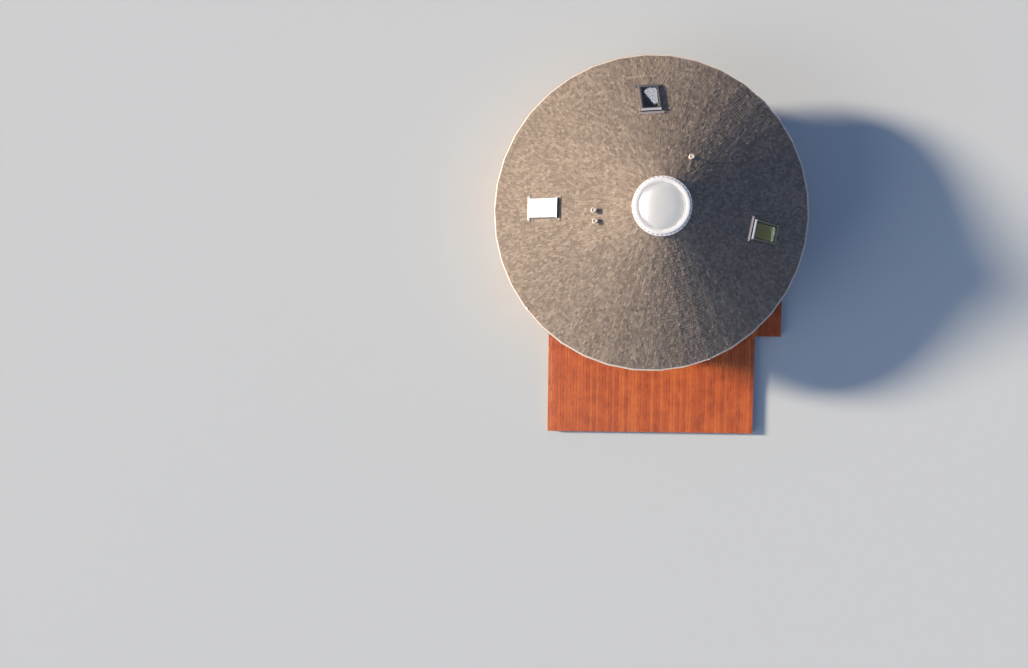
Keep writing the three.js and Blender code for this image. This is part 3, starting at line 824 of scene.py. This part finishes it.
def finishTrim(place, name, bm, finish, slot="window_metal", smooth=0):
    finishPiece(f"roof_window_{place}_{name}", bm, finish, smooth=smooth)


def makeCovers(place, matrix):   # pressed cover strips round the sash
    bm = newMesh()
    outer = (-frameWide + 0.006, frameWide - 0.006, -frameLong + 0.006, hoodFrom - 0.004)
    inner = around(paneWide + 0.026, paneLong + 0.012)
    addFrameRing(bm, outer, inner, frameSeat, frameTop + 0.012, matrix, 0.005)
    finishTrim(place, "covers", bm, "coverStrip")


def makeHood(place, matrix, hasAwning):   # folded sheet over the end of the sash
    start, skirt, half = -roofWindow["hood"], 0.030 if hasAwning else 0.046, frameWide - 0.002
    section = [(start, 0.0004), (aside, 0.0004), (aside, -skirt), (0.0032, -skirt)]
    if hasAwning:   # flat, under the awning's case
        section += [(0.0032, 0.003), (0.0005, 0.0055), (start, 0.0055)]
    else:
        section += [(0.0165, -0.016), (0.0160, -0.0125), (-0.033, 0.0345), (-0.036, 0.036), (start, 0.036)]
    bm = newMesh()
    addSweep(bm, [[(x, frameLong + y, frameTop + z) for y, z in section] for x in (-half, half)], matrix)
    finishTrim(place, "hood", bm, "hood", smooth=35)


def makeSeals(place, matrix, hasAwning):   # round the pane, and a black foam strip under the sheet behind the head; behind the awning window's head it runs on as painted shade
    bm = newMesh()
    rim, lip = around(paneWide + 0.0255, paneLong + 0.0115), around(paneWide - 0.0005, paneLong - 0.0005)
    clear = around(paneWide - 0.006, paneLong - 0.008)
    addFrameRing(bm, rim, clear, frameSeat, frameTop + 0.005, matrix, 0.002)
    addFrameRing(bm, lip, clear, frameTop - 0.0175, frameSeat, matrix)
    # behind the awning window's head the black strip reaches 84 mm instead of 46 mm: painted shade where the
    # raised head's shadow falls on the roof
    half, end = frameWide + 0.02, frameLong + (0.084 if hasAwning else 0.046)
    addBlock(bm, (-half, frameLong + aside, sheetLow), (half, end, sheetLow + 0.004), matrix, 0.002)
    finishTrim(place, "seals", bm, "rubber")


def makeFlashing(place, matrix):   # flat and upright sheet along both sides, and an apron below the window
    bm = newMesh()
    near, half = frameWide + aside, roofWindow["apron"] / 2
    for side in (-1, 1):
        for far, front, back, low, high in (
            (frameWide + 0.036, -frameLong - 0.005, frameLong + 0.05, 0.012, 0.016),
            (frameWide + 0.008, -frameLong, frameLong, 0.016, 0.062),
        ):
            left, right = sorted((side * near, side * far))
            addBlock(bm, (left, front, low), (right, back, high), matrix, 0.002)
    addBlock(bm, (-half, -frameLong - 0.077, 0.0243), (half, -frameLong - aside, 0.0262), matrix, 0.001)
    finishTrim(place, "flashing", bm, "apron")


def makeHeadSheet(place, matrix, hasAwning):   # behind the head
    half, high = roofWindow["saddle"] / 2, frameLong + 0.132
    if hasAwning:   # the roof covering is laid over it
        low = frameLong + 0.085
        section = [(low, sheetLow), (low, 0.0175), (low + 0.003, 0.019), (high, 0.0140), (high, sheetLow)]
        finish = "head_course", "shingle", "shingles"
    else:
        low = frameLong + 0.060
        section = [(low, sheetLow), (low, 0.064), (low + 0.004, 0.067), (low + 0.010, 0.065),
                   (high, 0.0135), (high, sheetLow)]
        finish = "saddle", "saddle", "window_metal"
    bm = newMesh()
    addSweep(bm, [[(x, y, z) for y, z in section] for x in (-half, half)], matrix)
    finishTrim(place, finish[0], bm, *finish[1:])


def makeAwning(place, matrix):   # white cloth drawn down over the pane, from its case to a bar at its foot
    half, long, level = frameWide - 0.030, frameLong - 0.030, frameTop + 0.0165
    steps, across, sheet, sag = 24, 8, 0.0008, 0.002
    shares = [k / across for k in range(across + 1)]
    cloth = [(-half + 2 * half * share, level - sag * math.cos(math.pi * (share - 0.5))) for share in shares]
    outlines = []
    for i in range(steps + 1):
        y = -long + (hoodFrom - 0.002 + long) * i / steps
        outlines.append([(x, y, z) for x, z in cloth] + [(x, y, z - sheet) for x, z in cloth[::-1]])
    bm = newMesh()
    addSweep(bm, outlines, matrix)
    hem, case, bar = half + 0.004, half + 0.012, roofWindow["awningBar"] / 2
    for low, high, chamfer in (
        ((-hem, -long - 0.014, level - 0.0042), (hem, -long, level + 0.003), 0.002),
        ((-case, hoodFrom, frameTop + 0.0062), (case, frameLong + 0.006, frameTop + 0.024), 0.006),
        ((-bar, -frameLong - 0.078, 0.0266), (bar, -frameLong - 0.006, 0.046), 0.006),
    ):
        addBlock(bm, low, high, matrix, chamfer)
    finishTrim(place, "awning", bm, "awning", "painted_joinery", smooth=40)


print("roof windows")
for place, corner in roofCornerOf.items():
    matrix = roofWindowPlace(corner)
    hasAwning = place == roofWindow["awningOn"]
    makeCovers(place, matrix)
    makeHood(place, matrix, hasAwning)
    makeSeals(place, matrix, hasAwning)
    makeFlashing(place, matrix)
    makeHeadSheet(place, matrix, hasAwning)
    if hasAwning:
        makeAwning(place, matrix)


# Vents
vents = {
    "pipe": 0.052,
    "caps": {"left_upper": (0.108, 0.095), "left_lower": (0.108, 0.085), "right": (0.105, 0.095)},
}


def makeVent(name, cap, drum):   # the cap's radius and the height of its drum
    low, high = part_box(f"vent_{name}")
    x, y = (low.x + high.x) / 2, (low.y + high.y) / 2
    ground = roofHeight(math.hypot(x, y))
    pipe, height = vents["pipe"], high.z - ground
    under = height - drum
    skirt = [(0.0, -0.06), (0.086, -0.06), (0.086, 0.020), (0.082, 0.030), (0.068, 0.056)]
    body = [(pipe + 0.004, 0.078), (pipe, 0.082), (pipe, under - 0.026), (pipe + 0.006, under - 0.023),
            (pipe + 0.006, under - 0.015), (pipe, under - 0.012), (pipe, under)]
    hood = [(cap - 0.010, under), (cap - 0.003, under + 0.005), (cap, under + 0.014), (cap, height - 0.022),
            (cap - 0.003, height - 0.011), (cap - 0.010, height - 0.003), (cap - 0.020, height),
            (cap * 0.62, height - 0.001), (cap * 0.54, height - 0.006), (cap * 0.3, height - 0.008),
            (0.0, height - 0.007)]
    bm = newMesh()
    addLathe(bm, skirt + body + hood, 32, Matrix.Translation((x, y, ground)))
    finishPiece(f"vent_{name}_hood", bm, "ventSheet", [f"vent_{name}"], smooth=38)


print("vents")
for name, sizes in vents["caps"].items():
    makeVent(name, *sizes)


# Eave
eave = {
    "lapLength": 0.07,
    "lapDepth": 0.0624,        # how far a lap reaches up the roof
    "sheet": 0.0012,
    "drop": 0.070,             # of the edge sheet's outer face
    "bead": 0.018,             # its bead's height over the roof
    "beadWidth": 0.012,
    "clear": 0.0002,           # between a lap and the sheet
    "fittingAzimuth": math.radians(-142.1),
    "fittingRadius": 6.352,
}


def makeEaveLaps():   # sleeves over the joints of the edge sheet, in the middle of every second facet
    rim, grow, clear = house["eaveRadius"], eave["sheet"], eave["clear"]
    foot, top, inner = roofHeight(rim) - eave["drop"], roofHeight(rim) + eave["bead"], rim - eave["lapDepth"]
    bead = rim - eave["beadWidth"]
    section = [   # radius and height, on the corner line: the outer face, and back along the sheet
        (rim + grow, foot), (rim + grow, top + grow), (bead - grow, top + grow),
        (bead - 0.0005, top - 0.0055), (inner, roofHeight(inner) + 0.006 + grow),
        (inner, roofHeight(inner) + 0.0062),
        (bead - clear, roofHeight(bead - clear) + 0.0062), (bead + clear, top + clear),
        (rim + clear, top + clear), (rim + clear, foot),
    ]
    section = [(radius * math.cos(roofStep / 2), z) for radius, z in section]
    half = eave["lapLength"] / 2
    bm = newMesh()
    for facet in range(0, house["roofSides"], 2):
        place = Matrix.Rotation(house["turn"] + (facet + 0.5) * roofStep, 4, "Z")
        addSweep(bm, [[(x, side, z) for x, z in section] for side in (-half, half)], place)
    finishPiece("eave_laps", bm, "eaveSheet")


def makeEaveFitting():   # small white clamp just inside the metal edge: a foot with two studs
    place = roofPlace(eave["fittingAzimuth"], eave["fittingRadius"])
    stud = [(0, 0.018), (0.021, 0.018), (0.021, 0.042), (0.016, 0.052), (0.006, 0.056), (0, 0.056)]
    bm = newMesh()
    addBlock(bm, (-0.052, -0.024, 0.010), (0.052, 0.024, 0.018), place, 0.003)
    for x in (-0.028, 0.028):
        addLathe(bm, stud, 16, place @ Matrix.Translation((x, 0, 0)))
    finishPiece("eave_clamp", bm, "gelcoat", smooth=35)


print("eave")
makeEaveLaps()
makeEaveFitting()


# Wall cladding: upright boards, corner strips and a frieze board under the rafters
cladding = {
    "board": 0.140,
    "gap": 0.004,
    "thickness": 0.020,
    "ease": 0.004,
    "shortest": 0.03,
    "low": 0.130,
    "high": 2.590,
    "friezeHigh": 2.652,
    "friezeThickness": 0.026,
    "cornerStrip": 0.045,
    "cornerThickness": 0.027,
    "cornerShort": 0.006,      # a corner strip ends this far below the frieze board's top
    "offWall": 0.0006,
    "offCasing": 0.003,        # round a door's or window's casing
    "offFrieze": 0.002,
    "seed": 5,
}
claddingBack = wallFace + cladding["offWall"]


def boardEdges(low, high):   # boards of equal width that fill the stretch
    count = max(1, round((high - low) / cladding["board"]))
    return [(low + (high - low) * i / count, low + (high - low) * (i + 1) / count) for i in range(count)]


def openingIn(panel):   # what the casing of a door or window covers, or None
    for name, where in wallPanelOf.items():
        if where == panel:
            low, high = localBox(f"{name}_frame", wallPlace(panel))
            gap = cladding["offCasing"]
            return low[0] - gap, high[0] + gap, low[1] - gap, high[1] + gap
    return None


def addCladdingBoard(bm, x0, x1, y0, y1, place, tone):
    if y1 - y0 < cladding["shortest"]:
        return
    left, right = x0 + cladding["gap"] / 2, x1 - cladding["gap"] / 2
    front, ease = wallFace + cladding["thickness"], cladding["ease"]
    outline = [(left, claddingBack), (right, claddingBack), (right, front - ease), (right - ease, front),
               (left + ease, front), (left, front - ease)]
    addSweep(bm, [[(x, y, z) for x, z in outline] for y in (y0, y1)], place, tone)


def makeCladding():
    dice = random.Random(cladding["seed"])
    boards, trim = newMesh(), newMesh()
    low, high, friezeHigh = cladding["low"], cladding["high"], cladding["friezeHigh"]
    edge = wallFace * math.tan(panelStep / 2) - cladding["cornerStrip"]
    for panel in range(house["wallPanels"]):
        place = wallPlace(panel)
        opening = openingIn(panel)
        zones = [(-edge, edge, [(low, high)])]
        if opening:
            x0, x1, y0, y1 = opening
            zones = [(-edge, x0, [(low, high)]), (x0, x1, [(low, y0), (y1, high)]), (x1, edge, [(low, high)])]
        for left, right, spans in zones:
            for x0, x1 in boardEdges(left, right):
                tone = dice.random()
                for y0, y1 in spans:
                    addCladdingBoard(boards, x0, x1, y0, y1, place, tone)
        addBlock(trim, (-edge, high + cladding["offFrieze"], claddingBack),
                 (edge, friezeHigh, wallFace + cladding["friezeThickness"]), place, 0.004, dice.random())
    front, top = wallFace + cladding["cornerThickness"], friezeHigh - cladding["cornerShort"]
    for corner in range(house["wallPanels"]):   # each strip is folded round a corner of the wall
        places = wallPlace(corner), wallPlace(corner + 1)
        (innerA, outerA), (innerB, outerB) = [
            [place @ Vector((side * (edge + 0.001), 0, z)) for z in (claddingBack, front)]
            for place, side in zip(places, (-1, 1))]
        farFold, nearFold = [places[0] @ Vector((-z * math.tan(panelStep / 2), 0, z))
                             for z in (front, claddingBack)]
        loop = [innerA, outerA, farFold, outerB, innerB, nearFold]
        addSweep(trim, [[(p.x, p.y, z) for p in loop] for z in (low, top)], tone=dice.random())
    finishPiece("wall_cladding", boards, "cladding")
    finishPiece("wall_trim", trim, "trim")


print("cladding")
makeCladding()


# Doors and windows in the walls, in metres from the wall's face
joinery = {
    "door": {"bar": 0.120, "rail": 0.200, "leafInset": 0.050, "hinges": (0.12, 0.5, 0.88)},
    "window": {"bar": 0.080, "rail": 0.080, "leafInset": 0.034, "hinges": (0.12, 0.88)},
    "stile": 0.8,              # of a leaf, as a share of the bar
    "leafGap": 0.003,          # from a leaf to the middle between the two
    "leafEase": 0.004,
    "leafFront": 0.044,
    "leafBack": 0.0303,
    "mullion": (-0.0297, 0.0300),   # the post between the leaves, its back and front
    "glassFront": -0.066,
    "sealOff": 0.0008,         # from the glass
    "seal": (0.008, 0.007),    # its width and thickness
    "hingeIn": 0.012,
    "handleHeight": 1.05,
    "doorHandleIn": 0.055,
    "threshold": {"inset": 0.09, "height": (-0.004, 0.018), "depth": (0.0310, 0.085)},
}


def addLever(bm, x, y, out, place):   # back plate, a lever that turns in, and the cylinder below it
    addBlock(bm, (x - 0.016, y - 0.12, out), (x + 0.016, y + 0.08, out + 0.006), place, 0.002)
    path = [(0, 0.004), (0, 0.040), (0.006, 0.050), (0.018, 0.055), (0.125, 0.055)]
    addTube(bm, [(x + along, y, out + z) for along, z in path], 0.0085, 10, place)
    addLathe(bm, [(0, -0.001), (0.009, -0.001), (0.009, 0.004), (0, 0.004)], 12,
             place @ Matrix.Translation((x, y - 0.075, out + 0.006)))


def addHinge(bm, x, y, out, place):
    turn = Matrix.Rotation(-math.pi / 2, 4, "X")
    profile = [(0, 0), (0.006, 0), (0.009, 0.003), (0.009, 0.097), (0.006, 0.100), (0, 0.100)]
    addLathe(bm, profile, 12, place @ Matrix.Translation((x, y - 0.05, out + 0.009)) @ turn)


def makeSill(name, place, low, high):   # sloping aluminium: height over the frame's foot, and distance out
    section = [(-0.030, 0.023), (-0.002, 0.023), (-0.0005, 0.023), (-0.012, 0.097), (-0.040, 0.097),
               (-0.040, 0.094), (-0.016, 0.094)]
    ends = low[0] - 0.02, high[0] + 0.02
    bm = newMesh()
    addSweep(bm, [[(x, low[1] + y, wallFace + z) for y, z in section] for x in ends], place)
    finishPiece(f"{name}_sill", bm, "sill")


def makeGlazedUnit(name, kind, steel, seals):
    place = wallPlace(wallPanelOf[name])
    low, high = localBox(f"{name}_frame", place)
    (_, y0, _), (x1, y1, _) = localBox(f"{name}_glass", place)   # the clear light
    sizes = joinery[kind]
    bar, inset = sizes["bar"], sizes["leafInset"]
    stile = bar * joinery["stile"]
    front = wallFace + joinery["leafFront"]
    glassOut = wallFace + joinery["glassFront"] + joinery["sealOff"]
    width, thickness = joinery["seal"]
    leaves = newMesh()
    leafLow, leafHigh = y0 - sizes["rail"] + inset, y1 + bar - inset
    for side in (-1, 1):
        far, near = side * (x1 + bar - inset), side * joinery["leafGap"]
        glass = (*sorted((side * stile, side * x1)), y0, y1)
        addFrameRing(leaves, (*sorted((near, far)), leafLow, leafHigh), glass,
                     wallFace + joinery["leafBack"], front, place, joinery["leafEase"])
        hole = (glass[0] + width, glass[1] - width, glass[2] + width, glass[3] - width)
        addFrameRing(seals, glass, hole, glassOut, glassOut + thickness, place, 0.002)
        for share in sizes["hinges"]:
            addHinge(steel, far, leafLow + (leafHigh - leafLow) * share, front - joinery["hingeIn"], place)
    back, out = joinery["mullion"]
    addBlock(leaves, (-stile, y0, wallFace + back), (stile, y1, wallFace + out), place)
    finishPiece(f"{name}_leaves", leaves, "paint")
    if kind == "door":
        addLever(steel, stile * 0.5, low[1] + joinery["handleHeight"], front, place)
    else:
        makeSill(name, place, low, high)


def addEntranceFittings(steel):
    place = wallPlace(wallPanelOf["entrance_door"])
    low, high = localBox("entrance_door", place)
    front = high[2] - 0.010
    handle = low[1] + joinery["handleHeight"] - 0.04
    addLever(steel, low[0] + joinery["doorHandleIn"], handle, front + 0.0005, place)
    for share in joinery["door"]["hinges"]:
        addHinge(steel, high[0] - joinery["hingeIn"], low[1] + (high[1] - low[1]) * share, front, place)


def makeThresholds():
    sizes = joinery["threshold"]
    (bottom, top), (back, front) = sizes["height"], sizes["depth"]
    bm = newMesh()
    for name in ("entrance_door", "terrace_door_left", "terrace_door_right"):
        place = wallPlace(wallPanelOf[name])
        low, high = localBox(f"{name}_frame", place)
        addBlock(bm, (low[0] + sizes["inset"], low[1] + bottom, wallFace + back),
                 (high[0] - sizes["inset"], low[1] + top, wallFace + front), place, 0.003)
    finishPiece("door_thresholds", bm, "sill")


print("doors and windows")
steelFittings, glazingSeals = newMesh(), newMesh()
for name in wallPanelOf:
    if name != "entrance_door":
        makeGlazedUnit(name, "window" if name.startswith("window") else "door", steelFittings, glazingSeals)
addEntranceFittings(steelFittings)
finishPiece("door_and_window_fittings", steelFittings, "steel", smooth=40)
finishPiece("glazing_seals", glazingSeals, "rubber")
makeThresholds()


# Deck
deckBoards = {
    "pitch": 0.1448,
    "gap": 0.010,
    "endGap": 0.004,
    "thickness": 0.028,
    "ease": 0.003,
    "longest": 4.2,
    "shortest": 2.4,
    "lastPiece": 0.9,        # no joint nearer to a board's end
    "clear": 0.045,          # off the wall
    "joistPitch": 0.6,
    "joistIn": 0.04,         # the first joist's distance from the front edge
    "screwSpread": 0.088,
    "screwIn": 0.0425,       # the first row's distance from the front edge
    "screwEnd": 0.05,        # no row nearer to the back edge
    "screwClear": 5.93,      # no screw nearer to the house's axis
    "seed": 23,
}


def wallLineAt(x, radius):   # the lower side of the house's outline at x, or None past it
    best = None
    for k in range(house["wallPanels"]):
        start = house["turn"] + (k - 0.5) * panelStep
        p, q = [(radius * math.cos(a), radius * math.sin(a)) for a in (start, start + panelStep)]
        if min(p[0], q[0]) <= x <= max(p[0], q[0]) and abs(p[0] - q[0]) > 1e-9:
            y = p[1] + (q[1] - p[1]) * (x - p[0]) / (q[0] - p[0])
            best = y if best is None else min(best, y)
    return best


def addDeckBoard(bm, x0, x1, startAt, endAt, high, tone):
    low, ease = high - deckBoards["thickness"], deckBoards["ease"]
    section = [(x0, low), (x1, low), (x1, high - ease), (x1 - ease, high),
               (x0 + ease, high), (x0, high - ease)]
    addSweep(bm, [[(x, at(x), z) for x, z in section] for at in (startAt, endAt)], tone=tone)


def makeDeckField(node, name):
    low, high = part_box(node)
    dice = random.Random(deckBoards["seed"])
    count = round((high.x - low.x) / deckBoards["pitch"])
    pitch = (high.x - low.x) / count
    half, joistPitch = deckBoards["gap"] / 2, deckBoards["joistPitch"]
    lengths = deckBoards["shortest"], deckBoards["longest"]

    def back(x):   # where a board ends: at the wall or the field's far edge
        wall = wallLineAt(x, house["wallRadius"] + deckBoards["clear"])
        return high.y if wall is None else min(high.y, wall)
    bm = newMesh()
    for i in range(count):
        x0 = low.x if i == 0 else low.x + i * pitch + half
        x1 = high.x if i == count - 1 else low.x + (i + 1) * pitch - half
        end = min(back(x0), back(x1))
        joints = [low.y]
        first = low.y + dice.uniform(*lengths)
        while first < end - deckBoards["lastPiece"]:   # a joint lies on a joist
            row = round((first - low.y) / joistPitch) * joistPitch + low.y + deckBoards["joistIn"]
            joints.append(row)
            first = row + dice.uniform(*lengths)
        stops = [lambda x, stop=joint - deckBoards["endGap"]: stop for joint in joints[1:]] + [back]
        for start, stop in zip(joints, stops):
            addDeckBoard(bm, x0, x1, lambda x, start=start: start, stop, high.z, dice.random())
    finishPiece(name, bm, "deck", [node])
    return low, high, count, pitch


def screwTree():
    tree, node, given = newTree("deckScrews", ["Boards", "Rows"], [
        "Left", "Front", "Top", "Pitch", "Row pitch", "Spread", "Clear of"])

    # two screws in each board at each joist
    index = node("GeometryNodeInputIndex")
    inRow = node("ShaderNodeMath", "MULTIPLY", [given["Boards"], 2.0])
    row = node("ShaderNodeMath", "DIVIDE", [index, inRow])
    row = node("ShaderNodeMath", "FLOOR", [row])
    place = node("ShaderNodeMath", "MODULO", [index, inRow])
    board = node("ShaderNodeMath", "MULTIPLY", [place, 0.5])
    board = node("ShaderNodeMath", "FLOOR", [board])
    second = node("ShaderNodeMath", "MODULO", [place, 2.0])
    aside = node("ShaderNodeMath", "SUBTRACT", [second, 0.5])
    aside = node("ShaderNodeMath", "MULTIPLY", [aside, given["Spread"]])
    middle = node("ShaderNodeMath", "ADD", [board, 0.5])
    middle = node("ShaderNodeMath", "MULTIPLY_ADD", [middle, given["Pitch"], given["Left"]])
    x = node("ShaderNodeMath", "ADD", [middle, aside])
    y = node("ShaderNodeMath", "MULTIPLY_ADD", [row, given["Row pitch"], given["Front"]])
    position = node("ShaderNodeCombineXYZ", inputs=[x, y, given["Top"]])
    total = node("ShaderNodeMath", "MULTIPLY", [inRow, given["Rows"]])
    points = node("GeometryNodePoints", inputs={"Count": total, "Position": position})

    # none under the wall
    away = node("ShaderNodeCombineXYZ", inputs=[x, y])
    away = node("ShaderNodeVectorMath", "LENGTH", [away])
    under = node("ShaderNodeMath", "LESS_THAN", [away, given["Clear of"]])
    endTree(node, given, node("GeometryNodeDeleteGeometry", {"domain": "POINT"}, [points, under]))
    return tree


def makeDeck():
    tree = screwTree()
    fields = [(name, makeDeckField(node, f"{name}_boards")) for node, name in (
        ("deck_boards", "main_deck"), ("wing_boards", "wing_deck"))]
    for field, (low, high, count, pitch) in fields:
        name = f"{field}_screws"
        bm = newMesh()
        addLathe(bm, [(0.0045, -0.001), (0.0045, 0.0004), (0, 0.0006)], 6)
        mesh = repeatShape(name, tree, bm, {
            "Boards": count,
            "Rows": int((high.y - low.y - deckBoards["screwEnd"]) / deckBoards["joistPitch"]) + 1,
            "Left": low.x, "Front": low.y + deckBoards["screwIn"], "Top": high.z, "Pitch": pitch,
            "Row pitch": deckBoards["joistPitch"], "Spread": deckBoards["screwSpread"],
            "Clear of": deckBoards["screwClear"]}, "steel")
        finishPiece(name, mesh, "steel")


print("deck")
makeDeck()


# Studio
studio = {
    "floorColour": "#cbd4d7", "floorReach": 160.0,
    "keyAzimuth": 171, "keyElevation": 16, "keyStrength": 8.8,
    "keyColour": "#ffe9cf", "keySoftness": 7,
    "fillAzimuth": -154, "fillElevation": 16, "fillStrength": 1.2,
    "fillColour": "#f3f8ff", "fillSoftness": 40,
    "lampDistance": 50,
    "skyColour": "#b0cbff", "skyStrength": 0.32,
}
# soft panels that only show in gloss: azimuth, elevation, distance, width, height, turn, light and colour
cards = {
    "westCard": (168, 44, 40, 48, 36, 0, 7.0, "#fff6ea"),
    "backCard": (81.8, 30.2, 45.5, 1.6, 1.6, 45, 9.5, "#f2f5ff"),
    "rightCard": (-0.9, 29, 50, 14, 14, 0, 1.1, "#dff283"),
    "rightEdgeCard": (-1.1, 28.2, 44, 3.0, 0.56, 0, 3.4, "#eef5e2"),
}
view = {   # where the drone hung, and its wide lens
    "spot": (-5.333, -3.864, 30.944),
    "turn": (-0.0397, 0.0079, 0.0126),
    "lens": 23.985,
    "sensor": 36.0,
    "farthest": 400,
}


def backdropPaper():
    # roll of matt backdrop paper: even, with no sheen
    material, node, _ = newMaterial("paperFloor")
    return endMaterial(material, node, {
        "Base Color": linear(studio["floorColour"]), "Roughness": 0.95, "Specular IOR Level": 0.1})


def makeFloor():
    bm = newMesh()
    reach = studio["floorReach"]
    addBlock(bm, (-reach, -reach, -0.05), (reach, reach, -0.0005))
    floor = addObject("studio_floor", meshFrom(bm, "studio_floor"))
    floor.data.materials.append(backdropPaper())


def skyward(azimuth, elevation):
    az, el = math.radians(azimuth), math.radians(elevation)
    return Vector((math.cos(az) * math.cos(el), math.sin(az) * math.cos(el), math.sin(el)))


def addLamp(name, kind, energy, colour, spot):   # it shines from its spot towards the house
    lamp = bpy.data.lights.new(name, kind)
    lamp.energy = energy
    lamp.color = linear(colour)[:3]
    source = addObject(name, lamp)
    source.location = spot
    source.rotation_euler = spot.to_track_quat("Z", "Y").to_euler()
    return source


def addCard(name, azimuth, elevation, distance, width, height, turn, light, colour):
    energy = light * math.pi * width * height
    card = addLamp(name, "AREA", energy, colour, skyward(azimuth, elevation) * distance)
    card.data.shape = "RECTANGLE"
    card.data.size, card.data.size_y = width, height
    card.rotation_euler.rotate_axis("Z", math.radians(turn))
    card.visible_camera = card.visible_diffuse = card.visible_transmission = False


def makeCamera():
    camera = addObject("photoCamera", bpy.data.cameras.new("photoCamera"))
    camera.data.sensor_width = view["sensor"]
    camera.data.lens = view["lens"]
    camera.data.clip_end = view["farthest"]
    aboutX, aboutY, aboutZ = [Matrix.Rotation(angle, 4, axis) for angle, axis in zip(view["turn"], "XYZ")]
    camera.matrix_world = Matrix.Translation(view["spot"]) @ aboutZ @ aboutX @ aboutY
    scene.camera = camera
    scene.view_settings.view_transform = "Standard"


def makeStudio():
    makeFloor()
    for lamp in ("key", "fill"):
        spot = skyward(studio[f"{lamp}Azimuth"], studio[f"{lamp}Elevation"]) * studio["lampDistance"]
        light = addLamp(f"{lamp}Light", "SUN", studio[f"{lamp}Strength"], studio[f"{lamp}Colour"], spot)
        light.data.angle = math.radians(studio[f"{lamp}Softness"])
    for name, card in cards.items():
        addCard(name, *card)
    world = bpy.data.worlds.new("softSky")
    scene.world = world
    world.use_nodes = True
    world.node_tree.nodes.clear()
    sky = addNode(world.node_tree, "ShaderNodeBackground", inputs={
        "Color": linear(studio["skyColour"]), "Strength": studio["skyStrength"]})
    addNode(world.node_tree, "ShaderNodeOutputWorld", inputs={"Surface": sky})
    makeCamera()


print("studio")
makeStudio()
